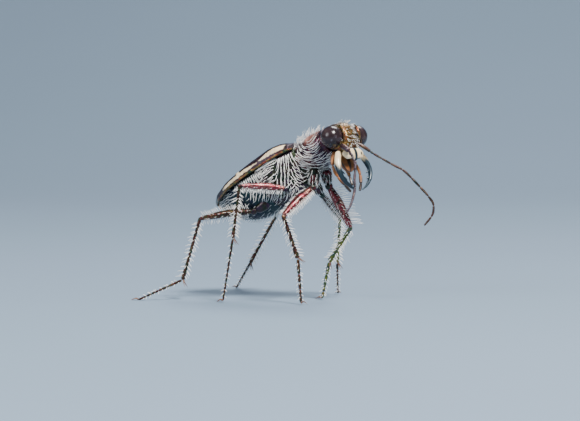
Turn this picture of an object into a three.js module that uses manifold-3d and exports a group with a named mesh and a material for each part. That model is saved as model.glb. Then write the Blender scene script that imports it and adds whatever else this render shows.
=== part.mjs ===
// A tiger beetle standing high on its six legs, head turned down and a little to its right.
// Millimetres. The beetle faces +X, its left is +Y, the floor is z = 0.

import * as THREE from 'three';
import { mergeVertices } from 'three/addons/utils/BufferGeometryUtils.js';
import Module from 'manifold-3d';

const wasm = await Module();
wasm.setup();

// Driving dimensions

const gap = 0.12;                 // clearance between neighbouring pieces
const bodyPitch = 29;             // degrees that the trunk rises towards the head
const tailTip = [-6.45, 0, 6.9];  // rear end of the wing cases
const elytraLength = 8.3;
const shellWall = 0.5;            // thickness of a wing case
const headCentre = [4.88, -0.33, 12.15];
const headYaw = -16;              // degrees, to the beetle's right
const headPitch = 67;             // degrees, jaws downwards
const eyeOffset = 1.2;            // from the head's middle to an eye's middle
const eyeLift = 0.05;             // of the eyes towards the face
const eyeRadii = [0.84, 0.84, 0.82];   // along the head, sideways, towards the face
const shellFloor = 0.12;          // how far a wing case swells under its rim
const shellSquareness = 0.6;      // 1 is an elliptic section, lower gives steeper sides

// Trunk tables: distance from the tail tip, then the size there

const elytraWidth = [[0, 0], [0.35, 0.85], [1.2, 1.7], [2.6, 2.38], [4, 2.52], [6, 2.4], [7.6, 2.2],
  [8.3, 1.7]];
const elytraRise = [[0, 0], [0.35, 0.36], [1.2, 0.63], [3, 0.78], [5, 0.88], [7, 1.02], [8.3, 0.84]];
const elytraMargin = [[0, -0.22], [1.2, -0.2], [3, -0.04], [5, 0.1], [7, 0.15], [8.3, 0.21]];
const abdomenWidth = [[0.3, 0.2], [0.6, 0.85], [1.2, 1.45], [2.6, 2.08], [4, 2.22], [5.4, 2.16]];
const abdomenBelly = [[0.3, -0.5], [0.6, -1.1], [0.9, -1.5], [1.5, -2.05], [2.5, -2.62], [3.5, -2.92],
  [5.4, -3.1]];
const thoraxWidth = [[4.6, 1.95], [5.4, 2.12], [6.6, 2.12], [7.6, 1.95], [8.3, 1.6], [8.8, 1.2]];
const thoraxBelly = [[4.6, -2.9], [5.4, -3.08], [6.6, -3.18], [7.8, -2.95], [8.9, -2.1]];
const pronotumHalfWidth = [[8.25, 1.15], [8.55, 1.36], [8.9, 1.3], [9.6, 1.5], [10.35, 1.5], [10.85, 1.32],
  [11.05, 1.36], [11.3, 1.15]];
const pronotumHalfHeight = [[8.25, 1.08], [8.55, 1.22], [8.9, 1.16], [9.6, 1.3], [10.35, 1.28],
  [10.85, 1.12], [11.05, 1.15], [11.3, 1.0]];
const pronotumMiddle = [[8.25, -0.72], [10, -0.68], [11.3, -0.58]];
const trunkWaist = [[0.3, -0.3], [1.2, -0.2], [3, -0.1], [8.8, -0.2]];   // level of the widest line

// Head pieces, as [along the head towards the jaws, to the left, towards the face]

const skullForm = { centre: [0, 0, 0], radii: [1.12, 1.04, 0.95] };
const muzzleForm = { centre: [0.72, 0, 0.12], radii: [0.75, 0.9, 0.62] };
const labrumForm = { centre: [1.52, -0.05, 0.6], radii: [0.46, 1.02, 0.28] };
const neckPath = [[0, 0, -0.2], [-0.45, 0, -0.95], [-0.75, 0, -1.5]];
const mandiblePath = [[1.15, 0.88, 0.02], [1.9, 1.3, 0.1], [2.75, 1.44, 0.15], [3.4, 1.2, 0.12],
  [3.85, 0.78, 0.1], [4.15, 0.3, 0.05]];
const maxillaPathRight = [[0.9, -0.75, -0.6], [1.6, -1.05, -0.75], [2.4, -1.1, -0.75], [3.3, -0.72, -0.65],
  [4.05, -0.2, -0.6]];
const maxillaPathLeft = [[0.9, 0.75, -0.6], [1.6, 1.1, -0.75], [2.5, 1.3, -0.75], [3.35, 1.05, -0.65],
  [4.0, 0.68, -0.6]];
const labialPath = [[0.95, 0.28, -0.7], [1.8, 0.32, -0.95], [2.7, 0.36, -0.9], [3.5, 0.3, -0.8]];

// Feelers, root to tip

const antennaRight = [[5.6, -1.5, 11.47], [6.25, -1.75, 11.15], [7.05, -2.3, 10.35], [7.7, -3.4, 9.2],
  [8.1, -4.0, 8.6], [8.55, -5.25, 7.55], [8.75, -6.15, 7.0]];
const antennaLeft = [[6.15, 0.32, 11.46], [6.75, 0.75, 10.95], [7.75, 1.9, 10.1], [8.35, 2.35, 9.7],
  [9.2, 3.0, 8.65], [9.9, 3.55, 7.65], [10.1, 3.7, 7.2], [10.05, 3.7, 6.5], [9.55, 3.35, 5.65]];

// Legs: root of the coxa, its end, knee, ankle, and the foot on the floor

const legs = {
  front_right: {
    points: [[2.55, -0.62, 9.9], [2.64, -0.85, 8.5], [1.75, -3.6, 6.45], [2.66, -3.05, 3.35],
      [2.97, -3.08, 0]],
    size: 0.94,
  },
  front_left: {
    points: [[2.65, 0.62, 9.9], [2.85, 0.75, 8.6], [4.2, 1.77, 5.4], [2.6, 1.33, 2.85], [1.98, 1.29, 0]],
    size: 0.94,
  },
  middle_right: {
    points: [[1.2, -0.8, 9.1], [0.75, -1.35, 8.3], [-1.85, -3.95, 8.55], [-2.26, -4.21, 4.7],
      [-2.9, -4.6, 0]],
    size: 1,
  },
  middle_left: {
    points: [[1.3, 0.8, 9.0], [1.9, 1.3, 7.85], [1.6, 4.45, 5.9], [1.08, 4.88, 2.5], [0.5, 5.9, 0]],
    size: 1,
  },
  hind_right: {
    points: [[-1.1, -1.0, 7.4], [-2.05, -1.5, 6.6], [-5.4, -3.9, 6.05], [-6.5, -4.6, 1.5], [-9.2, -6.6, 0]],
    size: 1.08,
  },
  hind_left: {
    points: [[-1.1, 1.0, 7.4], [-2.05, 1.5, 6.6], [-4.25, 4.9, 6.2], [-6.7, 4.7, 2.2], [-9.3, 6.6, 0]],
    size: 1.08,
  },
};
const coxaRadius = 0.46;
const femurRadius = 0.42;
const tibiaRadius = 0.25;
const tarsusRadius = 0.26;
const tarsomeres = 5;
const femurArch = 0.1;            // rise of a femur's middle above the straight line
const kneeOverlap = 0.12;         // how far a tibia reaches back over the knee
const soleHeight = 0.16;          // end of the last tarsal joint above the floor
const spur = { length: 0.75, radius: 0.11, root: 0.15, inward: 0.9, sideways: 0.3 };
const claw = { length: 0.5, radius: 0.13, height: 0.09, spread: 32 };   // spread in degrees to either side
const standStill = 0.4;           // a foot straight under its ankle points its claws outwards
const bristleRadius = 0.07;
const bristleLength = [0.38, 0.62];
const bristleRows = { femur: [5, [50, 170, 290]], tibia: [6, [20, 140, 260]] };   // steps, degrees round
const lockThickness = 0.065;      // half the thickness of a lock of hair
const lockSpread = 3;             // a lock's width as a share of its thickness
const lockRoot = 0.22;            // depth of a lock's root under the surface
const randomSeed = 20251;

// Finishes of the parts

const finishes = {
  shell: { color: 0x3a2440, roughness: 0.35, metalness: 0.6 },
  green: { color: 0x3f6b4a, roughness: 0.35, metalness: 0.6 },
  copper: { color: 0x7a3a30, roughness: 0.35, metalness: 0.6 },
  ivory: { color: 0xe8dcc0, roughness: 0.5, metalness: 0 },
  eye: { color: 0x1b1014, roughness: 0.15, metalness: 0 },
  palp: { color: 0xb5682c, roughness: 0.4, metalness: 0 },
  belly: { color: 0x1f3b46, roughness: 0.35, metalness: 0.6 },
};

// Small tools for places and sizes

const vector = (p) => new THREE.Vector3(...p);
const radians = THREE.MathUtils.degToRad;

function sizeAt(table, x) {
  const last = table.length - 1;
  if (x <= table[0][0]) return table[0][1];
  if (x >= table[last][0]) return table[last][1];
  const i = table.findIndex((row) => row[0] > x);
  const [x0, y0] = table[i - 1];
  const [x1, y1] = table[i];
  return THREE.MathUtils.lerp(y0, y1, (x - x0) / (x1 - x0));
}

const trunkForward = new THREE.Vector3(Math.cos(radians(bodyPitch)), 0, Math.sin(radians(bodyPitch)));
const trunkUp = new THREE.Vector3(-Math.sin(radians(bodyPitch)), 0, Math.cos(radians(bodyPitch)));

function onTrunk(forward, left, up) {
  return vector(tailTip)
    .addScaledVector(trunkForward, forward)
    .addScaledVector(trunkUp, up)
    .add(new THREE.Vector3(0, left, 0));
}

const headTurn = new THREE.Matrix4().makeRotationZ(radians(headYaw))
  .multiply(new THREE.Matrix4().makeRotationY(radians(headPitch)));
const headAlong = new THREE.Vector3(1, 0, 0).applyMatrix4(headTurn);
const headFace = new THREE.Vector3(0, 0, 1).applyMatrix4(headTurn);
const headLeft = new THREE.Vector3(0, 1, 0).applyMatrix4(headTurn);

function onHead(along, left, face) {
  return vector(headCentre)
    .addScaledVector(headAlong, along)
    .addScaledVector(headLeft, left)
    .addScaledVector(headFace, face);
}

let randomState = randomSeed;

function random(low, high) {
  randomState = (randomState * 1664525 + 1013904223) % 4294967296;
  return low + ((high - low) * randomState) / 4294967296;
}

// A closed shape becomes a solid that can be joined and cut

function solid(geometry) {
  geometry.deleteAttribute('normal');
  geometry.deleteAttribute('uv');
  const merged = mergeVertices(geometry, 1e-4);
  const place = merged.attributes.position.array;
  const faces = [];
  const index = merged.index.array;
  for (let i = 0; i < index.length; i += 3) {
    const [a, b, c] = [index[i], index[i + 1], index[i + 2]];
    if (a !== b && b !== c && c !== a) faces.push(a, b, c);
  }
  const corner = (i) => new THREE.Vector3(place[3 * i], place[3 * i + 1], place[3 * i + 2]);
  let volume = 0;
  for (let i = 0; i < faces.length; i += 3) {
    volume += corner(faces[i]).dot(corner(faces[i + 1]).cross(corner(faces[i + 2])));
  }
  if (volume < 0) faces.reverse();
  const mesh = { numProp: 3, vertProperties: new Float32Array(place), triVerts: new Uint32Array(faces) };
  return new wasm.Manifold(new wasm.Mesh(mesh));
}

// A sphere drawn out into an organic form: place(share from pole to pole, angle round it)

function formed(around, along, place) {
  const geometry = new THREE.SphereGeometry(1, around, along);
  const position = geometry.attributes.position;
  const point = new THREE.Vector3();
  for (let i = 0; i < position.count; i += 1) {
    point.fromBufferAttribute(position, i);
    const share = Math.acos(THREE.MathUtils.clamp(point.y, -1, 1)) / Math.PI;
    const angle = Math.atan2(point.z, point.x);
    const ring = Math.round(share * along) / along;
    const spot = place(ring, angle);
    position.setXYZ(i, spot.x, spot.y, spot.z);
  }
  return solid(geometry);
}

const curveThrough = (points) => new THREE.CatmullRomCurve3(points, false, 'centripetal');

// A turned profile laid along a curve: rows of [share of the length, radius]

function limb(points, profile, { sides = 8, grow = 0, flat = 1, up = [0, 0, 1] } = {}) {
  const curve = curveThrough(points.map((p) => (p.isVector3 ? p : vector(p))));
  const turned = profile.map(([share, radius]) => new THREE.Vector2(radius > 0 ? radius + grow : 0, share));
  const geometry = new THREE.LatheGeometry(turned, sides);
  const position = geometry.attributes.position;
  const across = new THREE.Vector3();
  const over = new THREE.Vector3();
  for (let i = 0; i < position.count; i += 1) {
    const share = THREE.MathUtils.clamp(position.getY(i), 0, 1);
    const centre = curve.getPointAt(share);
    const tangent = curve.getTangentAt(share);
    across.crossVectors(vector(up), tangent).normalize();
    over.crossVectors(tangent, across);
    const isEnd = position.getX(i) === 0 && position.getZ(i) === 0;
    if (isEnd && share < 0.5) centre.addScaledVector(tangent, -grow);
    if (isEnd && share > 0.5) centre.addScaledVector(tangent, grow);
    centre.addScaledVector(across, position.getX(i) * flat);
    centre.addScaledVector(over, position.getZ(i));
    position.setXYZ(i, centre.x, centre.y, centre.z);
  }
  return solid(geometry);
}

function joined(...solids) {
  return solids.reduce((whole, next) => whole.add(next));
}

function cutBy(whole, ...solids) {
  return solids.reduce((rest, next) => rest.subtract(next), whole);
}

function largest(whole) {
  return whole.decompose().reduce((a, b) => (a.volume() >= b.volume() ? a : b));
}

function box(low, high) {
  const size = vector(high).sub(vector(low));
  const geometry = new THREE.BoxGeometry(size.x, size.y, size.z);
  const middle = vector(low).add(vector(high)).multiplyScalar(0.5);
  geometry.translate(middle.x, middle.y, middle.z);
  return solid(geometry);
}

// A tapered spike, sunk a little into what carries it

function spike(root, direction, length, radius) {
  const geometry = new THREE.ConeGeometry(radius, length, 5);
  geometry.translate(0, length / 2, 0);
  geometry.applyQuaternion(new THREE.Quaternion().setFromUnitVectors(new THREE.Vector3(0, 1, 0),
    direction.clone().normalize()));
  geometry.translate(root.x, root.y, root.z);
  return solid(geometry);
}

// A flat, tapered lock of hair that leaves the surface and bends along its lie

function lock({ point, out }, lie, length, rise) {
  const root = point.clone().addScaledVector(out, -lockRoot);
  const bend = point.clone().addScaledVector(out, rise * 0.6).addScaledVector(lie, length * 0.4);
  const tip = point.clone().addScaledVector(out, rise).addScaledVector(lie, length);
  const profile = [[0, 0], [0.04, lockThickness], [0.55, lockThickness * 0.8], [1, 0]];
  return limb([root, bend, tip], profile, { sides: 4, flat: lockSpread, up: out.toArray() });
}

// Trunk

const angleStep = (angle) => ({ side: Math.cos(angle), rise: Math.sin(angle) });

function elytraForm({ grow = 0, inset = 0, floor = shellFloor } = {}) {
  return formed(22, 12, (share, angle) => {
    const forward = elytraLength * (1 - Math.cos(Math.PI * share)) / 2;
    const isPole = share === 0 || share === 1;
    const ends = share < 0.5 ? -(grow - inset) : grow - inset;
    const { side, rise } = angleStep(angle);
    const halfWidth = isPole ? 0 : Math.max(sizeAt(elytraWidth, forward) + grow - inset, 0.05);
    const height = isPole ? 0 : sizeAt(elytraRise, forward) + grow - inset;
    const depth = isPole ? 0 : floor + grow;
    const margin = sizeAt(elytraMargin, forward);
    const shrink = 1 - inset / (elytraLength / 2);
    const place = elytraLength / 2 + (forward - elytraLength / 2) * shrink;
    const out = Math.sign(side) * Math.abs(side) ** shellSquareness;
    const up = rise > 0 ? height * rise ** shellSquareness : depth * rise;
    return onTrunk(place + (isPole && inset === 0 ? ends : 0), halfWidth * out, margin + up);
  });
}

function trunkForm(start, end, widths, top, belly, waist, { grow = 0, around = 20, along = 10 } = {}) {
  return formed(around, along, (share, angle) => {
    const forward = start - grow + (end - start + 2 * grow) * (1 - Math.cos(Math.PI * share)) / 2;
    const isPole = share === 0 || share === 1;
    const { side, rise } = angleStep(angle);
    const halfWidth = isPole ? 0 : sizeAt(widths, forward) + grow;
    const high = sizeAt(top, forward) + grow;
    const low = sizeAt(belly, forward) - grow;
    const widest = sizeAt(waist, forward);
    const round = isPole ? 0 : rise * (rise > 0 ? high - widest : widest - low);
    return onTrunk(forward, halfWidth * side, widest + round);
  });
}

const pronotumTop = pronotumHalfHeight.map(([x, half]) => [x, sizeAt(pronotumMiddle, x) + half]);
const pronotumBelly = pronotumHalfHeight.map(([x, half]) => [x, sizeAt(pronotumMiddle, x) - half]);

function pronotumForm(grow = 0) {
  return trunkForm(pronotumMiddle[0][0], pronotumMiddle[2][0], pronotumHalfWidth, pronotumTop,
    pronotumBelly, pronotumMiddle, { grow, along: 12 });
}

const underElytra = [[0.3, -0.15], [1.2, 0.15], [3, 0.45], [5, 0.6], [7, 0.66], [8.8, 0.45]];

const elytra = cutBy(elytraForm(), elytraForm({ inset: shellWall, floor: 3 }));
const reach = 12;
const rightHalf = box([-reach, -reach, -reach], [reach, -gap / 2, 2 * reach]);
const leftHalf = box([-reach, gap / 2, -reach], [reach, reach, 2 * reach]);
const elytraGrown = cutBy(elytraForm({ grow: gap }), elytraForm({ inset: shellWall + gap, floor: 3 }));

// Head, eyes and mouth

function ellipsoid(centre, radii, { around = 16, along = 10, grow = 0 } = {}) {
  return formed(around, along, (share, angle) => {
    const polar = Math.PI * share;
    return onHead(
      centre[0] - (radii[0] + grow) * Math.cos(polar),
      centre[1] + (radii[1] + grow) * Math.sin(polar) * Math.cos(angle),
      centre[2] + (radii[2] + grow) * Math.sin(polar) * Math.sin(angle),
    );
  });
}

const sides = { right: -1, left: 1 };
const eyeAt = (side) => [0, sides[side] * eyeOffset, eyeLift];
const eye = (side, grow = 0) => ellipsoid(eyeAt(side), eyeRadii, { grow, along: 9 });

const neckProfile = [[0, 0], [0.02, 0.9], [0.5, 0.95], [0.95, 0.8], [1, 0]];
const headPath = (path) => path.map((p) => onHead(...p));
const neck = (grow = 0) => limb(headPath(neckPath), neckProfile, { sides: 12, grow, up: [0, 1, 0] });
const skull = (grow = 0) => joined(
  ellipsoid(skullForm.centre, skullForm.radii, { grow }),
  ellipsoid(muzzleForm.centre, muzzleForm.radii, { grow, around: 14, along: 8 }),
  neck(grow),
);

const mandibleProfile = [[0, 0], [0.02, 0.33], [0.25, 0.33], [0.55, 0.26], [0.8, 0.2], [0.97, 0.08], [1, 0]];
const mirrored = (path, side) => path.map(([along, left, face]) => [along, left * sides[side], face]);
const mandible = (side, grow = 0) => limb(headPath(mirrored(mandiblePath, side)), mandibleProfile,
  { grow, sides: 8, up: headFace.toArray() });

const mandibleTeeth = [[0.5, 0.42], [0.64, 0.4], [0.78, 0.34]];   // share of the length, tooth length
const toothRadius = 0.15;
const toothLean = 0.35;

function toothed(side) {
  const curve = curveThrough(headPath(mirrored(mandiblePath, side)));
  const inward = headLeft.clone().multiplyScalar(-sides[side]).addScaledVector(headAlong, toothLean);
  const teeth = mandibleTeeth.map(([share, length]) => spike(curve.getPointAt(share), inward, length,
    toothRadius));
  return joined(mandible(side), ...teeth);
}

const palpProfile = [[0, 0], [0.02, 0.2], [0.3, 0.2], [0.34, 0.16], [0.6, 0.22], [0.66, 0.16], [0.9, 0.2],
  [1, 0]];
const palp = (path, grow = 0) => limb(headPath(path), palpProfile,
  { grow, sides: 7, up: headFace.toArray() });

const labrum = (grow = 0) => ellipsoid(labrumForm.centre, labrumForm.radii, { grow, around: 14, along: 8 });

// Feelers in three lengths each

const antennaLengths = ['scape', 'middle', 'tip'];
const antennaShares = [0, 0.3, 0.64, 1];
const antennaRadius = [0.27, 0.25, 0.25, 0.12];
const feelerProfile = (from, to) => [
  [0, 0],
  ...[0.02, 0.22, 0.4, 0.6, 0.8, 0.98].map((share) => [share, THREE.MathUtils.lerp(from, to, share)]),
  [1, 0],
];

function antennaPiece(points, piece, grow = 0) {
  const curve = curveThrough(points.map(vector));
  const length = curve.getLength();
  const start = antennaShares[piece] + (piece > 0 ? gap / length : 0);
  const end = antennaShares[piece + 1];
  const steps = 6;
  const places = [...Array(steps + 1).keys()].map((k) => start + ((end - start) * k) / steps);
  const stretch = places.map((share) => curve.getPointAt(share));
  const profile = feelerProfile(antennaRadius[piece], antennaRadius[piece + 1]);
  return limb(stretch, profile, { grow, sides: 7 });
}

// Legs

const coxaProfile = [[0, 0], [0.02, 0.9], [0.4, 1], [0.85, 0.72], [1, 0]];
const femurProfile = [[0, 0], [0.02, 0.55], [0.15, 0.72], [0.4, 1], [0.65, 0.9], [0.9, 0.66], [0.98, 0.55],
  [1, 0]];
const tibiaProfile = [[0, 0], [0.02, 0.95], [0.1, 1], [0.5, 0.95], [0.97, 1.12], [1, 0]];
const scaled = (profile, size) => profile.map(([share, radius]) => [share, radius * size]);
const between = (a, b, share) => vector(a).lerp(vector(b), share);

function towards(a, b, distance) {
  return vector(a).add(vector(b).sub(vector(a)).setLength(distance));
}

function coxa({ points: [root, hip] }, grow = 0) {
  return limb([root, hip], scaled(coxaProfile, coxaRadius), { grow, sides: 10, up: [1, 0.3, 0] });
}

function femur({ points: [root, hip, knee], size }, grow = 0) {
  const bulge = between(hip, knee, 0.5).add(new THREE.Vector3(0, 0, femurArch));
  return limb([towards(hip, knee, gap), bulge, knee], scaled(femurProfile, femurRadius * size),
    { grow, sides: 10, up: [0.2, 0.1, 1] });
}

function tibia({ points: [, , knee, ankle] }, grow = 0) {
  return limb([towards(knee, ankle, -kneeOverlap), ankle], scaled(tibiaProfile, tibiaRadius),
    { grow, up: [1, 0.2, 0] });
}

function tarsus({ points: [, , , ankle, foot] }, grow = 0) {
  const profile = [[0, 0]];
  for (let k = 0; k < tarsomeres; k += 1) {
    profile.push([(k + 0.06) / tarsomeres, tarsusRadius * 0.7]);
    profile.push([(k + 0.8) / tarsomeres, tarsusRadius * (1 - 0.04 * k)]);
  }
  profile.push([1, 0]);
  const sole = towards(foot, ankle, -soleHeight);
  return limb([towards(ankle, foot, gap), sole], profile, { grow, sides: 7, up: [1, 0.2, 0] });
}

// Rows of stiff bristles along a length of leg, leaning towards the foot

function bristles(from, to, radius, steps, angles) {
  const axis = vector(to).sub(vector(from)).normalize();
  const across = new THREE.Vector3(0.2, 0.9, 0.4).cross(axis).normalize();
  const over = axis.clone().cross(across);
  const rows = [];
  for (let k = 0; k < steps; k += 1) {
    for (const degrees of angles) {
      const turn = radians(degrees + random(-14, 14));
      const out = across.clone().multiplyScalar(Math.cos(turn)).addScaledVector(over, Math.sin(turn));
      const root = between(from, to, (k + 0.5 + random(-0.2, 0.2)) / steps)
        .addScaledVector(out, radius * 0.55);
      rows.push(spike(root, out.clone().addScaledVector(axis, random(0.35, 0.7)),
        radius * 0.45 + random(...bristleLength), bristleRadius));
    }
  }
  return rows;
}

function spurs(leg) {
  const [, , knee, ankle] = leg.points;
  const axis = vector(ankle).sub(vector(knee)).normalize();
  const inward = new THREE.Vector3(-axis.z, 0, axis.x).setLength(1);
  return [-spur.sideways, spur.sideways].map((lean) => spike(towards(ankle, knee, spur.root),
    axis.clone().addScaledVector(inward, spur.inward).add(new THREE.Vector3(0, lean, 0)), spur.length,
    spur.radius));
}

function claws({ points: [, , , ankle, foot] }) {
  const ahead = vector(foot).sub(vector(ankle)).setZ(0);
  if (ahead.length() < standStill) ahead.set(foot[0] > 0 ? 1 : -1, standStill * Math.sign(foot[1]), 0);
  ahead.normalize();
  return [-claw.spread, claw.spread].map((degrees) => {
    const out = ahead.clone().applyAxisAngle(new THREE.Vector3(0, 0, 1), radians(degrees));
    return spike(vector(foot).add(new THREE.Vector3(0, 0, claw.height)), out, claw.length, claw.radius);
  });
}

function bristledFemur(leg) {
  const [, hip, knee] = leg.points;
  const [steps, angles] = bristleRows.femur;
  const start = between(hip, knee, 0.15).toArray();
  return joined(femur(leg), ...bristles(start, knee, femurRadius * leg.size * 0.85, steps, angles));
}

function bristledTibia(leg) {
  const [, , knee, ankle] = leg.points;
  const [steps, angles] = bristleRows.tibia;
  const start = between(knee, ankle, 0.08).toArray();
  return joined(tibia(leg), ...bristles(start, ankle, tibiaRadius, steps, angles), ...spurs(leg));
}

function bristledTarsus(leg) {
  const [, , , ankle, foot] = leg.points;
  const ends = between(ankle, foot, 0.1).toArray();
  return joined(tarsus(leg), ...bristles(ends, foot, tarsusRadius, tarsomeres, [30, 210]), ...claws(leg));
}

// Hair of the neck and flanks, as points on the trunk's surface with the way out of it

function onBelt(forward, angle, widths, top, belly, waist) {
  const { side, rise } = angleStep(radians(angle));
  const widest = sizeAt(waist, forward);
  const core = onTrunk(forward, 0, widest);
  const round = rise * (rise > 0 ? sizeAt(top, forward) - widest : widest - sizeAt(belly, forward));
  const point = onTrunk(forward, sizeAt(widths, forward) * side, widest + round);
  return { point, out: point.clone().sub(core).normalize() };
}

// Assembly

const beetle = new THREE.Group();

function addPart(name, whole, finish, group = beetle) {
  const { vertProperties, triVerts, numProp } = largest(whole).getMesh();
  const geometry = new THREE.BufferGeometry();
  const places = new Float32Array((vertProperties.length / numProp) * 3);
  for (let i = 0; i < places.length / 3; i += 1) {
    for (let k = 0; k < 3; k += 1) places[3 * i + k] = vertProperties[i * numProp + k];
  }
  geometry.setAttribute('position', new THREE.BufferAttribute(places, 3));
  geometry.setIndex(new THREE.BufferAttribute(new Uint32Array(triVerts), 1));
  geometry.computeVertexNormals();
  const mesh = new THREE.Mesh(geometry, new THREE.MeshStandardMaterial(finishes[finish]));
  mesh.name = name;
  group.add(mesh);
}

const aboveFloor = box([-2 * reach, -2 * reach, 0], [2 * reach, 2 * reach, 2 * reach]);

const antennae = { right: antennaRight, left: antennaLeft };
const maxillaPaths = { right: maxillaPathRight, left: maxillaPathLeft };
const mouthGrown = ['right', 'left'].flatMap((side) => [
  mandible(side, gap),
  palp(maxillaPaths[side], gap),
  palp(mirrored(labialPath, side), gap),
  antennaPiece(antennae[side], 0, gap),
  eye(side, gap),
]);

addPart('head', cutBy(skull(), labrum(gap), ...mouthGrown), 'copper');
addPart('labrum', cutBy(labrum(), mandible('right', gap), mandible('left', gap)), 'ivory');
for (const side of ['right', 'left']) {
  addPart(`eye_${side}`, cutBy(eye(side), antennaPiece(antennae[side], 0, gap)), 'eye');
  addPart(`mandible_${side}`, toothed(side), 'ivory');
  addPart(`maxillary_palp_${side}`, cutBy(palp(maxillaPaths[side]), mandible(side, gap)), 'palp');
  addPart(`labial_palp_${side}`, palp(mirrored(labialPath, side)), 'palp');
  antennaLengths.forEach((length, piece) => {
    addPart(`antenna_${side}_${length}`, antennaPiece(antennae[side], piece), 'shell');
  });
}

const coxaeGrown = Object.values(legs).map((leg) => coxa(leg, gap));
const femoraGrown = Object.values(legs).map((leg) => femur(leg, gap));
const abdomen = trunkForm(0.3, 5.4, abdomenWidth, underElytra, abdomenBelly, trunkWaist);
const thorax = (grow = 0) => trunkForm(4.6, 8.8, thoraxWidth, underElytra, thoraxBelly, trunkWaist,
  { grow });

function pronotumLocks() {
  const locks = [];
  for (const forward of [8.7, 9.4, 10.1, 10.75]) {
    for (const angle of [-55, -25, 5, 35, 65, 90, 115, 145, 175, 205, 235]) {
      const spot = onBelt(forward + random(-0.15, 0.15), angle + random(-6, 6), pronotumHalfWidth,
        pronotumTop, pronotumBelly, pronotumMiddle);
      const lie = trunkForward.clone().multiplyScalar(random(0.5, 0.9)).add(new THREE.Vector3(0, 0, 0.45));
      locks.push(lock(spot, lie.normalize(), random(0.55, 0.8), random(0.35, 0.55)));
    }
  }
  return locks;
}

function flankLocks(from, to, steps, widths, belly, length) {
  const locks = [];
  for (let k = 0; k < steps; k += 1) {
    for (const angle of [-25, -45, -68, 205, 225, 248]) {
      const forward = THREE.MathUtils.lerp(from, to, (k + random(0.3, 0.7)) / steps);
      const spot = onBelt(forward, angle + random(-6, 6), widths, underElytra, belly, trunkWaist);
      const lie = trunkForward.clone().multiplyScalar(-random(0.6, 0.9)).add(new THREE.Vector3(0, 0, -0.5));
      locks.push(lock(spot, lie.normalize(), length * random(0.85, 1.15), random(0.2, 0.35)));
    }
  }
  return locks;
}

const hairyPronotum = joined(pronotumForm(), ...pronotumLocks());
const hairyThorax = joined(thorax(), ...flankLocks(5.3, 8.3, 5, thoraxWidth, thoraxBelly, 0.75));
const hairyAbdomen = joined(abdomen, ...flankLocks(1.2, 4.2, 4, abdomenWidth, abdomenBelly, 0.5));

addPart('prothorax', cutBy(hairyPronotum, skull(gap), eye('right', gap), eye('left', gap), elytraGrown,
  ...coxaeGrown, ...femoraGrown), 'shell');
addPart('thorax', cutBy(hairyThorax, pronotumForm(gap), elytraGrown, ...coxaeGrown, ...femoraGrown),
  'green');
addPart('abdomen', cutBy(hairyAbdomen, thorax(gap), elytraGrown, ...coxaeGrown, ...femoraGrown), 'belly');
const foreCut = pronotumForm(gap);
addPart('elytron_right', cutBy(elytra, foreCut).intersect(rightHalf), 'shell');
addPart('elytron_left', cutBy(elytra, foreCut).intersect(leftHalf), 'shell');

for (const [name, leg] of Object.entries(legs)) {
  const parts = {
    coxa: cutBy(coxa(leg), femur(leg, gap)),
    femur: cutBy(bristledFemur(leg), tibia(leg, gap)),
    tibia: cutBy(bristledTibia(leg), tarsus(leg, gap), femur(leg).subtract(tibia(leg, gap))),
    tarsus: cutBy(bristledTarsus(leg), tibia(leg).subtract(tarsus(leg, gap))).intersect(aboveFloor),
  };
  for (const [part, whole] of Object.entries(parts)) {
    addPart(`${part}_${name}`, whole, part === 'coxa' ? 'green' : 'copper');
  }
}

// The origin lies on the floor, under the middle of the whole beetle

const bounds = new THREE.Box3().setFromObject(beetle);
const middle = bounds.getCenter(new THREE.Vector3());
beetle.position.set(-middle.x, -middle.y, -bounds.min.z);
beetle.updateMatrixWorld(true);

export default beetle;
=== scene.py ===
import math
import random

import bmesh
import bpy
import numpy as np
from mathutils import Matrix, Vector


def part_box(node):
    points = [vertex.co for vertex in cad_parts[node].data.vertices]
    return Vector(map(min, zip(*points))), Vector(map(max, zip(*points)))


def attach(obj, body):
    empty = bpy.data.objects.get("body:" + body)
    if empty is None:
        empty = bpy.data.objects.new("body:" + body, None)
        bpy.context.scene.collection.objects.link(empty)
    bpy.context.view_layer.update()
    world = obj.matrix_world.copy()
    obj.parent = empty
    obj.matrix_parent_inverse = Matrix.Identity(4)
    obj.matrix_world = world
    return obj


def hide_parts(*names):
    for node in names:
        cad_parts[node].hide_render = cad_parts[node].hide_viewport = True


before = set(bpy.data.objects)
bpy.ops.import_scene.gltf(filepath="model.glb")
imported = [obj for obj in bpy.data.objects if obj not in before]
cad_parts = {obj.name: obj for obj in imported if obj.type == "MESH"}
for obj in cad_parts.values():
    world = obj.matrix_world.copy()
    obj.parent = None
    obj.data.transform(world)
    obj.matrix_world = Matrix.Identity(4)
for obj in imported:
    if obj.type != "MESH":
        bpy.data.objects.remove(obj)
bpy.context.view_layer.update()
random.seed(71)

# Life-size values in millimetres, in the beetle's own stance: it faces +X, its left is +Y

mm = 0.001
trunk = {"pitch": 29, "tail": (-6.45, 0, 6.9), "shellLength": 8.6, "shellWall": 0.16, "squareness": 0.6}
head = {"centre": (4.88, -0.33, 12.15), "yaw": -16, "pitch": 67, "eyeOffset": 1.2, "eyeFace": 0.05,
        "eyeRadii": (0.83, 0.83, 0.81)}

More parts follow.
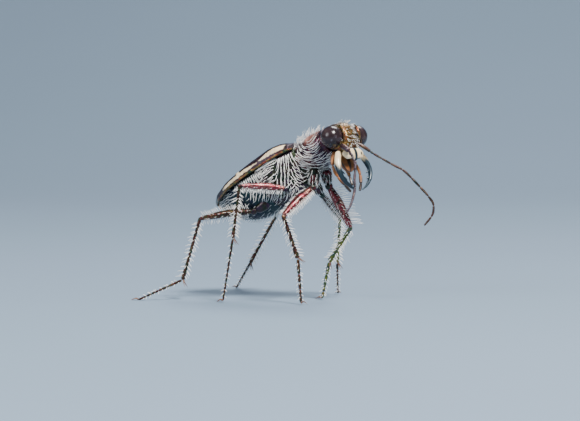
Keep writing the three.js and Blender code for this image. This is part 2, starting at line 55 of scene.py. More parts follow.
shellWidth = [(0, 0), (0.35, 0.85), (1.2, 1.7), (2.6, 2.38), (4, 2.52), (6, 2.4), (7.6, 2.2), (8.6, 1.6)]
shellRise = [(0, 0), (0.35, 0.36), (1.2, 0.63), (3, 0.78), (5, 0.88), (7, 1.0), (7.9, 0.84), (8.6, 0.36)]
shellMargin = [(0, -0.22), (1.2, -0.2), (3, -0.04), (5, 0.1), (7, 0.15), (8.3, 0.21)]
abdomenWidth = [(0.3, 0.2), (0.6, 0.85), (1.2, 1.45), (2.6, 2.08), (4, 2.22), (5.4, 2.16)]
abdomenBelly = [(0.3, -0.5), (0.6, -1.1), (0.9, -1.5), (1.5, -2.05), (2.5, -2.62), (3.5, -2.92), (5.4, -3.1)]
thoraxWidth = [(4.6, 1.95), (5.4, 2.12), (6.6, 2.12), (7.6, 1.95), (8.3, 1.6), (8.8, 1.2)]
thoraxBelly = [(4.6, -2.9), (5.4, -3.08), (6.6, -3.18), (7.8, -2.95), (8.9, -2.1)]
underShell = [(0.3, -0.3), (1.2, -0.12), (3, 0.12), (5, 0.28), (7, 0.36), (8.8, 0.3)]
trunkWaist = [(0.3, -0.4), (1.2, -0.3), (3, -0.04), (8.8, -0.06)]
pronotumWidth = [(8.25, 1.15), (8.55, 1.36), (8.9, 1.3), (9.6, 1.5), (10.35, 1.5), (10.85, 1.32),
                 (11.05, 1.36), (11.3, 1.15)]
pronotumHeight = [(8.25, 1.08), (8.55, 1.22), (8.9, 1.16), (9.6, 1.3), (10.35, 1.28), (10.85, 1.12),
                  (11.05, 1.15), (11.3, 1.0)]
pronotumMiddle = [(8.25, -0.72), (10, -0.68), (11.3, -0.58)]

# Head pieces, as (along the head towards the jaws, to the left, towards the face)

jawPath = [(1.15, 0.88, 0.02), (1.9, 1.3, 0.1), (2.75, 1.44, 0.15), (3.4, 1.2, 0.12), (3.85, 0.78, 0.1),
           (4.15, 0.3, 0.05)]
maxillaPaths = {
    "right": [(0.9, -0.75, -0.6), (1.6, -1.05, -0.75), (2.4, -1.1, -0.75), (3.3, -0.72, -0.65),
              (4.05, -0.2, -0.6)],
    "left": [(0.9, 0.75, -0.6), (1.6, 1.1, -0.75), (2.5, 1.3, -0.75), (3.35, 1.05, -0.65), (4.0, 0.68, -0.6)],
}
labialPath = [(0.95, 0.28, -0.7), (1.8, 0.32, -0.95), (2.7, 0.36, -0.9), (3.5, 0.3, -0.8)]

feelerPaths = {
    "right": [(5.6, -1.5, 11.47), (6.25, -1.75, 11.15), (7.05, -2.3, 10.35), (7.7, -3.4, 9.2),
              (8.1, -4.0, 8.6), (8.55, -5.25, 7.55), (8.75, -6.15, 7.0)],
    "left": [(6.15, 0.32, 11.46), (6.75, 0.75, 10.95), (7.75, 1.9, 10.1), (8.35, 2.35, 9.7), (9.2, 3.0, 8.65),
             (9.9, 3.55, 7.65), (10.1, 3.7, 7.2), (10.05, 3.7, 6.5), (9.55, 3.35, 5.65)],
}

# Legs: root of the coxa, hip, knee, ankle and foot

legs = {
    "front_right": [(2.55, -0.62, 9.9), (2.64, -0.85, 8.5), (1.75, -3.6, 6.45), (2.66, -3.05, 3.35),
                    (2.97, -3.08, 0)],
    "front_left": [(2.65, 0.62, 9.9), (2.85, 0.75, 8.6), (4.2, 1.77, 5.4), (2.6, 1.33, 2.85),
                   (1.98, 1.29, 0)],
    "middle_right": [(1.2, -0.8, 9.1), (0.75, -1.35, 8.3), (-1.85, -3.95, 8.55), (-2.26, -4.21, 4.7),
                     (-2.9, -4.6, 0)],
    "middle_left": [(1.3, 0.8, 9.0), (1.9, 1.3, 7.85), (1.6, 4.45, 5.9), (1.08, 4.88, 2.5), (0.5, 5.9, 0)],
    "hind_right": [(-1.1, -1.0, 7.4), (-2.05, -1.5, 6.6), (-5.4, -3.9, 6.05), (-6.5, -4.6, 1.5),
                   (-9.2, -6.6, 0)],
    "hind_left": [(-1.1, 1.0, 7.4), (-2.05, 1.5, 6.6), (-4.25, 4.9, 6.2), (-6.7, 4.7, 2.2), (-9.3, 6.6, 0)],
}
legSizes = {"front": 1.22, "middle": 0.92, "hind": 0.98}
legRadii = {"coxa": 0.45, "femur": 0.29, "tibia": 0.125, "tarsus": 0.095}
sides = {"right": -1, "left": 1}

# Frames of the trunk and the head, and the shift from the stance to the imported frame

trunkForward = Vector((math.cos(math.radians(trunk["pitch"])), 0, math.sin(math.radians(trunk["pitch"]))))
trunkUp = Vector((-trunkForward.z, 0, trunkForward.x))
leftward = Vector((0, 1, 0))
headTurn = (Matrix.Rotation(math.radians(head["yaw"]), 3, "Z")
            @ Matrix.Rotation(math.radians(head["pitch"]), 3, "Y"))
headAlong = headTurn @ Vector((1, 0, 0))
headLeft = headTurn @ Vector((0, 1, 0))
headFace = headTurn @ Vector((0, 0, 1))


def middleOf(node):
    low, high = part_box(node)
    return (low + high) / 2


eyesMiddle = (middleOf("eye_right") + middleOf("eye_left")) / 2
shift = eyesMiddle / mm - Vector(head["centre"]) - headFace * head["eyeFace"]
print("shift of the stance, mm", [round(c, 3) for c in shift])


def onTrunk(forward, left, up):
    return Vector(trunk["tail"]) + trunkForward * forward + leftward * left + trunkUp * up


def onHead(along, left, face):
    return Vector(head["centre"]) + headAlong * along + headLeft * left + headFace * face


def placed(point):
    return (point + shift) * mm


# A table's value at x, averaged over a short stretch so that its corners are soft
def softAt(table, x, blur=0.18):
    rows = np.array(table)
    samples = x + np.linspace(-blur, blur, 5)
    return float(np.interp(samples, rows[:, 0], rows[:, 1]).mean())


# Curves through given points

class Route:
    def __init__(self, points, steps=14):
        points = [Vector(p) for p in points]
        points = [points[0] * 2 - points[1]] + points + [points[-1] * 2 - points[-2]]
        line = []
        for k in range(1, len(points) - 2):
            a, b, c, d = points[k - 1:k + 3]
            knots = [0.0]
            for start, end in ((a, b), (b, c), (c, d)):
                knots.append(knots[-1] + max((end - start).length, 1e-6) ** 0.5)
            t0, t1, t2, t3 = knots
            for step in range(steps):
                t = t1 + (t2 - t1) * step / steps
                ab = a.lerp(b, (t - t0) / (t1 - t0))
                bc = b.lerp(c, (t - t1) / (t2 - t1))
                cd = c.lerp(d, (t - t2) / (t3 - t2))
                abc = ab.lerp(bc, (t - t0) / (t2 - t0))
                bcd = bc.lerp(cd, (t - t1) / (t3 - t1))
                line.append(abc.lerp(bcd, (t - t1) / (t2 - t1)))
        line.append(points[-2])
        self.line = line
        lengths = [(b - a).length for a, b in zip(line, line[1:])]
        self.marks = np.concatenate([[0], np.cumsum(lengths)])
        self.length = float(self.marks[-1])

    def at(self, share):
        mark = min(max(share, 0.0), 1.0) * self.length
        k = min(int(np.searchsorted(self.marks, mark, "right")) - 1, len(self.line) - 2)
        k = max(k, 0)
        span = self.marks[k + 1] - self.marks[k]
        return self.line[k].lerp(self.line[k + 1], (mark - self.marks[k]) / span if span else 0)

    def heading(self, share):
        ahead = self.at(min(share + 0.02, 1)) - self.at(max(share - 0.02, 0))
        return ahead.normalized()


# Share of a form's length at a share of its rings, which crowd towards both ends, and the way back
def eased(share):
    return (1 - math.cos(math.pi * share)) / 2


def ringShare(t):
    return math.acos(1 - 2 * t) / math.pi


# A rule place(share, angle) for a tube with round ends along part of a route
def tubeRule(route, radiusAt, up=(0, 0, 1), flat=1.0, start=0.0, end=1.0):
    length = route.length * (end - start)

    def place(share, angle):
        t = eased(share)
        where = start + (end - start) * t
        heading = route.heading(where)
        across = Vector(up).cross(heading).normalized()
        over = heading.cross(across)
        radius = radiusAt(t)
        cap = min(0.45, max(radius, 0.02) * 0.8 / length)
        edge = min(t, 1 - t)
        if edge < cap:
            radius *= math.sqrt(max(0.0, 1 - (1 - edge / cap) ** 2))
        spot = route.at(where) + across * (radius * flat * math.cos(angle))
        return spot + over * (radius * math.sin(angle))
    return place


# Meshes

# A smooth object from a mesh, riding on the root
def showMesh(name, mesh, material):
    mesh.polygons.foreach_set("use_smooth", [True] * len(mesh.polygons))
    mesh.materials.append(material)
    piece = bpy.data.objects.new(name, mesh)
    bpy.context.scene.collection.objects.link(piece)
    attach(piece, "root")
    return piece


def newPiece(name, bm, slotName, *nodes, material=None):
    bmesh.ops.remove_doubles(bm, verts=bm.verts, dist=1e-7)
    bmesh.ops.recalc_face_normals(bm, faces=bm.faces)
    mesh = bpy.data.meshes.new(name)
    bm.to_mesh(mesh)
    bm.free()
    piece = showMesh(name, mesh, material)
    if nodes:
        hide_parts(*nodes)


# A sphere drawn out by place(share, angle), where marks(share, angle) gives the mark and rim attributes
def addForm(bm, around, along, place, marks=None):
    layers = [bm.verts.layers.float.get(name) or bm.verts.layers.float.new(name) for name in ("mark", "rim")]
    made = bmesh.ops.create_uvsphere(bm, u_segments=around, v_segments=along, radius=1)
    for vertex in made["verts"]:
        share = math.acos(max(-1.0, min(1.0, vertex.co.z))) / math.pi
        angle = math.atan2(vertex.co.y, vertex.co.x)
        vertex.co = placed(place(share, angle))
        for layer, value in zip(layers, marks(share, angle) if marks else (0.0, 0.0)):
            vertex[layer] = value


def formPiece(name, around, along, place, slotName, *nodes, material=None, marks=None):
    bm = bmesh.new()
    addForm(bm, around, along, place, marks)
    newPiece(name, bm, slotName, *nodes, material=material)


# Hair: each strand is a thin tapered bend with three sides, rooted a little under the skin

hairShape = {"sides": 3, "rings": 4, "taper": 0.75, "rootDepth": 0.03, "bendUp": 0.75, "bendAlong": 0.25,
             "tipSway": 1.6, "laidBend": 0.7}
hairMap = {"margin": 0.02, "span": 0.95, "patch": 0.0015}    # where strands lie on the bake map


def mapSpot(share, angle, tile=(0, 0, 1, 1)):
    u = tile[0] + (tile[2] - tile[0]) * ((angle / (2 * math.pi)) % 1.0)
    v = tile[1] + (tile[3] - tile[1]) * share
    return hairMap["margin"] + hairMap["span"] * u, hairMap["margin"] + hairMap["span"] * v


# A strand rooted on a form, as root, bend, tip, radius and its spot on the bake map
def strandOn(place, share, angle, lie, length, rise, radius, tile=(0, 0, 1, 1), side=0.0):
    step = 0.01
    point = place(share, angle)
    across = place(share, angle + step) - point
    along = place(min(share + step, 1), angle) - point
    core = (point + place(share, angle + math.pi)) / 2
    normal = across.cross(along)
    if normal.length < 1e-9:
        normal = point - core
    normal.normalize()
    if normal.dot(point - core) < 0:
        normal = -normal
    flow = lie - normal * lie.dot(normal)
    if flow.length > 1e-6:
        flow.normalize()
    sway = normal.cross(flow) * side
    bendUp, bendAlong = hairShape["bendUp"], hairShape["bendAlong"]
    bend = point + normal * (length * rise * bendUp) + (flow + sway) * (length * bendAlong)
    reach = length * math.sqrt(max(0.05, 1 - rise * rise))
    tip = point + normal * (length * rise) + (flow + sway * hairShape["tipSway"]) * reach
    return (point - normal * hairShape["rootDepth"], bend, tip, radius, mapSpot(share, angle, tile))


# The trunk's surface between two stations, on which hair can be laid along a flow
class Skin:
    def __init__(self, start, end, widths, top, belly, waist):
        self.start, self.end = start, end
        self.tables = (widths, top, belly, waist)

    def sizes(self, forward, rise):
        width, high, low, widest = (softAt(table, forward) for table in self.tables)
        return width, (high - widest if rise > 0 else widest - low), widest

    def spot(self, forward, angle, lift=0.0):
        rise = math.sin(angle)
        width, tall, widest = self.sizes(forward, rise)
        return onTrunk(forward, (width + lift) * math.cos(angle), widest + (tall + lift) * rise)

    def where(self, point):
        away = point - Vector(trunk["tail"])
        forward, up = away.dot(trunkForward), away.dot(trunkUp)
        _, _, widest = self.sizes(forward, 0)
        width, tall, _ = self.sizes(forward, up - widest)
        return forward, math.atan2((up - widest) / tall, away.y / width)

    def laid(self, point, lift):
        return self.spot(*self.where(point), lift)

    def strand(self, forward, angle, flow, length, rise, radius):
        root = self.spot(forward, angle)
        middle = self.laid(root + flow(root) * (length / 2), length * rise * hairShape["laidBend"])
        tip = self.laid(middle + flow(middle) * (length / 2), length * rise)
        bend = middle * 2 - (root + tip) / 2
        share = min(1.0, max(0.0, (forward - self.start) / (self.end - self.start)))
        return (self.spot(forward, angle, -hairShape["rootDepth"]), bend, tip, radius, mapSpot(share, angle))


def hairPiece(name, strands, material):
    sides, rings = hairShape["sides"], hairShape["rings"]
    count, perStrand = len(strands), sides * rings + 1
    roots, bends, tips = (np.array([s[k] for s in strands]) + np.array(shift) for k in range(3))
    radii, patches = (np.array([s[k] for s in strands]) for k in (3, 4))
    spine = tips - roots
    upright = np.abs(spine[:, 2:3]) > 0.9 * np.linalg.norm(spine, axis=1, keepdims=True)
    sideways = np.cross(spine, np.where(upright, [[1.0, 0, 0]], [[0, 0, 1.0]]))
    sideways /= np.linalg.norm(sideways, axis=1, keepdims=True)
    upward = np.cross(sideways, spine)
    upward /= np.linalg.norm(upward, axis=1, keepdims=True)
    places = np.zeros((count, perStrand, 3))
    spots = np.zeros((count, perStrand, 2))
    for ring in range(rings):
        t = ring / rings
        middle = roots * (1 - t) ** 2 + bends * (2 * t * (1 - t)) + tips * t * t
        width = radii * (1 - hairShape["taper"] * t)
        for side in range(sides):
            turn = 2 * math.pi * side / sides
            k = ring * sides + side
            places[:, k] = middle + (sideways * math.cos(turn) + upward * math.sin(turn)) * width[:, None]
            spots[:, k] = patches + hairMap["patch"] * np.array([math.cos(turn), 2 * t - 1])
    places[:, -1] = tips
    spots[:, -1] = patches + np.array([0, hairMap["patch"]])
    faces = []
    for ring in range(rings - 1):
        for side in range(sides):
            a = ring * sides + side
            b = ring * sides + (side + 1) % sides
            faces += [(a, b, b + sides), (a, b + sides, a + sides)]
    last = (rings - 1) * sides
    faces += [(last + side, last + (side + 1) % sides, perStrand - 1) for side in range(sides)]
    faces += [(2, 1, 0)]
    allFaces = (np.array(faces)[None] + (np.arange(count) * perStrand)[:, None, None]).reshape(-1, 3)
    mesh = bpy.data.meshes.new(name)
    mesh.from_pydata((places.reshape(-1, 3) * mm).tolist(), [], allFaces.tolist())
    bakeMap = mesh.uv_layers.new(name="OFBake")
    corners = spots.reshape(-1, 2)[allFaces.reshape(-1)]
    bakeMap.data.foreach_set("uv", corners.astype(np.float32).reshape(-1))
    showMesh(name, mesh, material)
    print("hair", name, count, "strands", len(allFaces), "triangles")


# Materials

# A material's nodes, with patterns that read Object coordinates in millimetres
class Finish:
    def __init__(self, name, **values):
        self.material = bpy.data.materials.new(name)
        self.material.use_nodes = True
        self.tree = self.material.node_tree
        self.shader = self.tree.nodes["Principled BSDF"]
        inputs = {"Vector": self.add("TexCoord", "Object"), "Scale": (1 / mm, 1 / mm, 1 / mm)}
        self.vector = self.add("Mapping", "Vector", inputs)
        self.shade({name.replace("_", " "): value for name, value in values.items()})

    # An input takes a fixed value, a colour, or a link from another node
    def feed(self, socket, value):
        if isinstance(value, bpy.types.NodeSocket):
            self.tree.links.new(value, socket)
        elif isinstance(value, tuple) and socket.type == "RGBA":
            socket.default_value = (*value, 1)
        else:
            socket.default_value = value

    def shade(self, values):
        for name, value in values.items():
            self.feed(self.shader.inputs[name], value)

    def add(self, kind, output, inputs=None, **settings):
        node = self.tree.nodes.new("ShaderNode" + kind)
        for name, value in settings.items():
            setattr(node, name, value)
        for name, value in (inputs or {}).items():
            self.feed(node.inputs[name], value)
        return node.outputs[output]

    def noise(self, scale, detail=3.0, roughness=0.55):
        inputs = {"Vector": self.vector, "Scale": scale, "Detail": detail, "Roughness": roughness}
        return self.add("TexNoise", "Fac", inputs)

    def cells(self, scale):
        return self.add("TexVoronoi", "Distance", {"Vector": self.vector, "Scale": scale})

    def attribute(self, name):
        return self.add("Attribute", "Fac", attribute_name=name)

    # A value carried from one range to another
    def ranged(self, value, source, result):
        inputs = {"Value": value, "From Min": source[0], "From Max": source[1], "To Min": result[0],
                  "To Max": result[1]}
        return self.add("MapRange", "Result", inputs)

    def summed(self, first, second):
        return self.add("Math", "Value", {0: first, 1: second}, operation="ADD")

    def ramp(self, factor, stops):
        output = self.add("ValToRGB", "Color", {"Fac": factor})
        elements = output.node.color_ramp.elements
        while len(elements) < len(stops):
            elements.new(0.5)
        for element, (position, colour) in zip(elements, stops):
            element.position = position
            element.color = (*colour, 1)
        return output

    def mixed(self, factor, first, second, mode="MIX"):
        inputs = {"Factor": factor, 6: first, 7: second}
        return self.add("Mix", 2, inputs, data_type="RGBA", blend_type=mode)

    # Bumps one over another, as pairs of height and strength
    def bump(self, heights, depth):
        inputs = {}
        for height, strength in heights:
            inputs.update({"Strength": strength, "Distance": depth * mm, "Height": height})
            inputs["Normal"] = self.add("Bump", "Normal", inputs)
        self.shade({"Normal": inputs["Normal"]})


# Iridescent cuticle: wide colour zones, fine speckles, and a netted microsculpture, with an optional painted
# highlight where the mark attribute rises
def cuticle(name, zones, speckles, metal=0.85, zoneScale=0.55, grain=9.0, paintedHighlight=None):
    finish = Finish(name, Metallic=metal, Coat_Weight=0.35, Coat_Roughness=0.18)
    colour = finish.ramp(finish.noise(zoneScale, detail=2.0), zones)
    fine = finish.noise(scale=5.5, detail=4.0, roughness=0.65)
    spots = finish.ranged(finish.noise(scale=2.6, detail=5.0, roughness=0.7), (0.46, 0.62), (0.0, 0.75))
    colour = finish.mixed(spots, colour, finish.ramp(fine, speckles))
    # An optional painted highlight colour, mixed in where the mark attribute rises
    if paintedHighlight:
        colour = finish.mixed(finish.attribute("mark"), colour, paintedHighlight)
    net = finish.cells(grain)
    shade = finish.ranged(net, (0.0, 0.75), (1.1, 0.55))
    grey = finish.add("CombineColor", "Color", {channel: shade for channel in ("Red", "Green", "Blue")})
    colour = finish.mixed(0.8, colour, grey, "MULTIPLY")
    finish.shade({"Base Color": colour, "Roughness": finish.ranged(fine, (0.3, 0.7), (0.24, 0.4))})
    wrinkles = finish.noise(scale=3.2, detail=5.0, roughness=0.6)
    finish.bump([(net, 0.5), (wrinkles, 0.9)], depth=0.03)
    return finish.material


# Smooth horn, which turns to the mark's colour where the mark attribute rises
def horn(name, colour, deep, markColour=None, markEdge=(0.4, 0.6)):
    finish = Finish(name, Roughness=0.35, Subsurface_Weight=0.15, Subsurface_Radius=(0.0004, 0.0002, 0.0001),
                    Coat_Weight=0.4)
    cloud = finish.ranged(finish.noise(scale=2.0, detail=4.0), (0.35, 0.7), (0.0, 1.0))
    base = finish.mixed(cloud, colour, deep)
    if markColour:
        mark = finish.attribute("mark")
        base = finish.mixed(finish.ranged(mark, markEdge, (0.0, 1.0)), base, markColour)
        finish.shade({"Metallic": finish.ranged(mark, markEdge, (0.0, 0.4))})
    finish.shade({"Base Color": base})
    finish.bump([(finish.noise(scale=7.0, detail=4.0), 0.5)], depth=0.02)
    return finish.material


def hairMaterial():
    finish = Finish("whiteHair", Roughness=0.35, Sheen_Weight=0.2)
    tone = finish.ranged(finish.noise(scale=4.0, detail=2.0), (0.35, 0.65), (0.0, 1.0))
    finish.shade({"Base Color": finish.mixed(tone, (0.9, 0.87, 0.82), (0.99, 0.98, 0.96))})
    return finish.material


eyeTones = {
    "clouds": [(0.35, (0.012, 0.008, 0.01)), (0.55, (0.025, 0.014, 0.017)), (0.7, (0.05, 0.034, 0.034))],
    # Pale grey patches: a painted reflection on the dark eye
    "patches": (0.16, 0.16, 0.2),
}


def eyeMaterial():
    finish = Finish("eyeGloss", Roughness=0.2, Specular_IOR_Level=0.2, Coat_Weight=0.35, Coat_Roughness=0.07)
    clouds = finish.ramp(finish.noise(scale=1.1), eyeTones["clouds"])
    # Pale grey patches over the dark clouds are a painted reflection
    patches = finish.ranged(finish.noise(scale=4.5), (0.6, 0.68), (0.0, 0.3))
    finish.shade({"Base Color": finish.mixed(patches, clouds, eyeTones["patches"])})
    finish.bump([(finish.cells(scale=22.0), 0.5)], depth=0.008)
    return finish.material


shellTones = {
    "bronze": [(0.3, (0.022, 0.01, 0.02)), (0.5, (0.05, 0.018, 0.03)), (0.7, (0.02, 0.022, 0.018))],
    "rimHues": [(0.38, (0.012, 0.05, 0.02)), (0.48, (0.26, 0.15, 0.04)), (0.56, (0.2, 0.025, 0.015)),
                (0.66, (0.03, 0.045, 0.015))],
    "pits": (0.015, 0.09, 0.07), "edge": (0.012, 0.02, 0.014),
    "cream": (0.84, 0.69, 0.45), "deepCream": (0.6, 0.43, 0.23),
}


def shellMaterial():
    finish = Finish("shellBronze", Roughness=0.34, Coat_Weight=0.3, Coat_Roughness=0.25)
    mark, rim = finish.attribute("mark"), finish.attribute("rim")
    ragged = finish.ranged(finish.noise(scale=6.0, detail=4.0), (0.3, 0.7), (-0.04, 0.04))
    cream = finish.ranged(finish.summed(mark, ragged), (-0.025, 0.025), (1.0, 0.0))
    bronze = finish.ramp(finish.noise(scale=0.9), shellTones["bronze"])
    pits = finish.cells(scale=5.2)
    bronze = finish.mixed(finish.ranged(pits, (0.05, 0.28), (1.0, 0.0)), bronze, shellTones["pits"])
    hues = finish.ramp(finish.noise(scale=1.6), shellTones["rimHues"])
    bronze = finish.mixed(finish.ranged(finish.summed(rim, ragged), (0.06, 0.1), (0.9, 0.0)), bronze, hues)
    bronze = finish.mixed(finish.ranged(rim, (-0.06, -0.03), (1.0, 0.0)), bronze, shellTones["edge"])
    clouds = finish.ranged(finish.noise(scale=3.0), (0.4, 0.7), (0.0, 1.0))
    pale = finish.mixed(clouds, shellTones["cream"], shellTones["deepCream"])
    finish.shade({"Base Color": finish.mixed(cream, bronze, pale),
                  "Metallic": finish.ranged(cream, (0.0, 1.0), (0.75, 0.0))})
    finish.bump([(pits, 0.9), (finish.noise(scale=12.0, detail=4.0), 0.4)], depth=0.03)
    return finish.material


cuticleLooks = {
    "copperHead": {
        "zones": [(0.34, (0.02, 0.05, 0.015)), (0.44, (0.3, 0.07, 0.03)), (0.52, (0.03, 0.09, 0.035)),
                  (0.6, (0.4, 0.2, 0.06)), (0.68, (0.06, 0.02, 0.02))],
        "speckles": [(0.38, (0.01, 0.07, 0.035)), (0.5, (0.55, 0.28, 0.06)), (0.6, (0.02, 0.015, 0.012)),
                     (0.7, (0.3, 0.04, 0.03))],
        "zoneScale": 3.2,
    },
    "purpleNeck": {
        "zones": [(0.3, (0.022, 0.008, 0.02)), (0.46, (0.08, 0.015, 0.03)), (0.58, (0.02, 0.012, 0.04)),
                  (0.72, (0.2, 0.06, 0.06))],
        "speckles": [(0.3, (0.012, 0.008, 0.02)), (0.5, (0.13, 0.025, 0.03)), (0.7, (0.05, 0.04, 0.015))],
        # Colour of the painted highlight on the bare disc
        "paintedHighlight": (0.85, 0.38, 0.3),
    },
    "greenFlank": {
        "zones": [(0.3, (0.006, 0.03, 0.02)), (0.46, (0.015, 0.028, 0.01)), (0.56, (0.05, 0.012, 0.05)),
                  (0.72, (0.01, 0.04, 0.03))],
        "speckles": [(0.3, (0.004, 0.016, 0.016)), (0.5, (0.08, 0.06, 0.02)), (0.7, (0.07, 0.012, 0.06))],
        "zoneScale": 0.9,
    },
    "darkHip": {
        "zones": [(0.36, (0.006, 0.022, 0.018)), (0.5, (0.018, 0.028, 0.018)), (0.58, (0.2, 0.02, 0.035)),
                  (0.66, (0.015, 0.01, 0.015))],
        "speckles": [(0.36, (0.004, 0.012, 0.01)), (0.5, (0.07, 0.025, 0.02)), (0.64, (0.02, 0.04, 0.018))],
        "zoneScale": 1.2,
    },
    "tealBelly": {
        "zones": [(0.3, (0.005, 0.014, 0.03)), (0.5, (0.007, 0.035, 0.045)), (0.7, (0.014, 0.012, 0.045))],
        "speckles": [(0.3, (0.004, 0.01, 0.02)), (0.6, (0.014, 0.06, 0.05))],
    },
    "copperLeg": {
        "zones": [(0.34, (0.008, 0.035, 0.014)), (0.43, (0.03, 0.04, 0.01)), (0.5, (0.1, 0.012, 0.016)),
                  (0.57, (0.015, 0.008, 0.008)), (0.66, (0.01, 0.045, 0.022))],
        "speckles": [(0.44, (0.01, 0.006, 0.006)), (0.52, (0.42, 0.2, 0.1)), (0.59, (0.01, 0.035, 0.016))],
        "zoneScale": 3.2, "grain": 14.0,
    },
    "redLeg": {
        "zones": [(0.34, (0.02, 0.008, 0.01)), (0.46, (0.16, 0.014, 0.025)), (0.55, (0.34, 0.05, 0.07)),
                  (0.66, (0.03, 0.012, 0.012))],
        "speckles": [(0.38, (0.01, 0.006, 0.006)), (0.52, (0.6, 0.26, 0.2)), (0.64, (0.02, 0.035, 0.012))],
        "zoneScale": 1.4, "grain": 14.0,
    },
    "greenLeg": {
        "zones": [(0.34, (0.006, 0.06, 0.02)), (0.46, (0.1, 0.12, 0.008)), (0.56, (0.008, 0.07, 0.07)),
                  (0.66, (0.12, 0.035, 0.01))],
        "speckles": [(0.3, (0.005, 0.03, 0.015)), (0.5, (0.3, 0.34, 0.04)), (0.7, (0.25, 0.03, 0.03))],
        "zoneScale": 2.0, "grain": 14.0,
    },
    "darkFeeler": {
        "zones": [(0.35, (0.015, 0.012, 0.02)), (0.5, (0.06, 0.03, 0.055)), (0.65, (0.09, 0.04, 0.03))],
        "speckles": [(0.3, (0.02, 0.03, 0.025)), (0.6, (0.16, 0.11, 0.12))],
        "metal": 0.6, "zoneScale": 1.2, "grain": 16.0,
    },
    "copperFeeler": {
        "zones": [(0.35, (0.02, 0.012, 0.008)), (0.5, (0.1, 0.03, 0.02)), (0.65, (0.015, 0.02, 0.012))],
        "speckles": [(0.3, (0.55, 0.4, 0.25)), (0.6, (0.03, 0.015, 0.015))],
        "metal": 0.6, "zoneScale": 2.2, "grain": 16.0,
    },
}
metals = {name: cuticle(name, **look) for name, look in cuticleLooks.items()}
ivoryHorn = horn("ivoryHorn", (0.86, 0.73, 0.5), (0.6, 0.42, 0.2), (0.006, 0.02, 0.032), (0.4, 0.56))
palpHorn = horn("palpHorn", (0.36, 0.12, 0.02), (0.12, 0.04, 0.012), (0.03, 0.018, 0.012), (0.62, 0.8))
spurHorn = horn("spurHorn", (0.16, 0.06, 0.02), (0.05, 0.02, 0.01))
whiteHair = hairMaterial()
eyeGloss = eyeMaterial()
shellBronze = shellMaterial()
print("materials ready")


# Wing cases

# Cream bands, as rows of (forward, height over the rim, half width)
bands = [
    [(8.15, 0.36, 0.17), (7.7, 0.41, 0.18), (7.0, 0.42, 0.14), (6.25, 0.35, 0.04)],
    [(6.0, 0.3, 0.03), (5.2, 0.3, 0.1), (4.1, 0.29, 0.14), (3.0, 0.25, 0.11), (2.3, 0.21, 0.06)],
    [(4.15, 0.38, 0.14), (4.05, 0.65, 0.11), (3.75, 0.82, 0.1), (3.3, 0.9, 0.12), (3.05, 0.92, 0.15)],
    [(1.5, 0.75, 0.08), (1.1, 0.95, 0.1), (0.8, 1.15, 0.08)],
]
rollShare = 0.84        # share of the outer surface above the rim, the rest is rolled under
rollDepth, rollTuck = 0.07, 0.05
seamDip = {"depth": 0.05, "width": 0.09}
shellEnds = {"blunt": 6, "inset": 0.02, "least": 0.015}
viewSide, viewUp = 0.252, 0.968     # how much of a step sideways and upwards counts as height of a band
offBand = 9.0       # a mark far from any band


# A bell curve that is 1 at its middle
def bell(x, middle, width):
    return math.exp(-((x - middle) / width) ** 2)


# How far a spot lies outside the cream bands, in millimetres
def bandDistance(forward, height):
    best = offBand
    spot = Vector((forward, height))
    for line in bands:
        for (x0, y0, r0), (x1, y1, r1) in zip(line, line[1:]):
            a, b = Vector((x0, y0)), Vector((x1, y1))
            share = min(1.0, max(0.0, (spot - a).dot(b - a) / (b - a).length_squared))
            best = min(best, (spot - a.lerp(b, share)).length - (r0 + (r1 - r0) * share))
    return best


# Half width and height at t, 0 on the seam, rollShare on the rim and 1 under it
def shellSection(forward, t):
    width, rise = softAt(shellWidth, forward, 0.1), softAt(shellRise, forward, 0.1)
    fall = math.pi / 2 * min(1.0, t / rollShare)
    power = trunk["squareness"]
    under = max(0.0, (t - rollShare) / (1 - rollShare))
    return (width * math.sin(fall) ** power - rollTuck * under ** 2,
            rise * max(0.0, math.cos(fall)) ** power - rollDepth * under)


def sectionShare(angle):
    turn = (angle / (2 * math.pi)) % 1.0
    return turn <= 0.5, (turn if turn <= 0.5 else 1 - turn) / 0.5


def shellRule(side):
    def place(share, angle):
        forward = trunk["shellLength"] * eased(share)
        outer, t = sectionShare(angle)
        width, rise = shellSection(forward, t)
        wall = 0 if outer else trunk["shellWall"]
        inset = 0.0 if outer else wall * math.sin(math.pi * min(1.0, 0.5 + t / 2)) + shellEnds["inset"]
        ends = min(1.0, math.sin(math.pi * share) * shellEnds["blunt"])
        left = max(shellEnds["least"], width * ends - (inset if t > 0.1 else 0))
        seam = seamDip["depth"] * bell(left, 0, seamDip["width"])
        up = softAt(shellMargin, forward) + rise * ends - seam - wall * (1 - t)
        return onTrunk(forward, side * left, up)
    return place


def shellMarks(share, angle):
    forward = trunk["shellLength"] * eased(share)
    outer, t = sectionShare(angle)
    if not outer:
        return offBand, 0.0
    steps = [shellSection(forward, k) for k in np.linspace(rollShare, min(t, rollShare), 12)]
    height = sum(math.hypot(viewSide * (w1 - w0), viewUp * (r1 - r0))
                 for (w0, r0), (w1, r1) in zip(steps, steps[1:]))
    if t > rollShare:
        height = -rollDepth * (t - rollShare) / (1 - rollShare)
    return bandDistance(forward, height), height


for side, sign in sides.items():
    formPiece(f"wing_case_{side}", 128, 120, shellRule(sign), "wing_case", f"elytron_{side}",
              material=shellBronze, marks=shellMarks)
print("wing cases ready")


# Trunk pieces

def trunkRule(start, end, widths, top, belly, waist, furrow):
    def place(share, angle):
        forward = start + (end - start) * eased(share)
        ends = min(1.0, math.sin(math.pi * share) * 3.0) ** 0.6 if 0 < share < 1 else 0.0
        dent = furrow(forward, angle)
        widest = softAt(waist, forward)
        reach = softAt(top, forward) - widest if math.sin(angle) > 0 else widest - softAt(belly, forward)
        halfWidth = (softAt(widths, forward) - dent) * ends
        return onTrunk(forward, halfWidth * math.cos(angle), widest + (reach - dent) * ends * math.sin(angle))
    return place


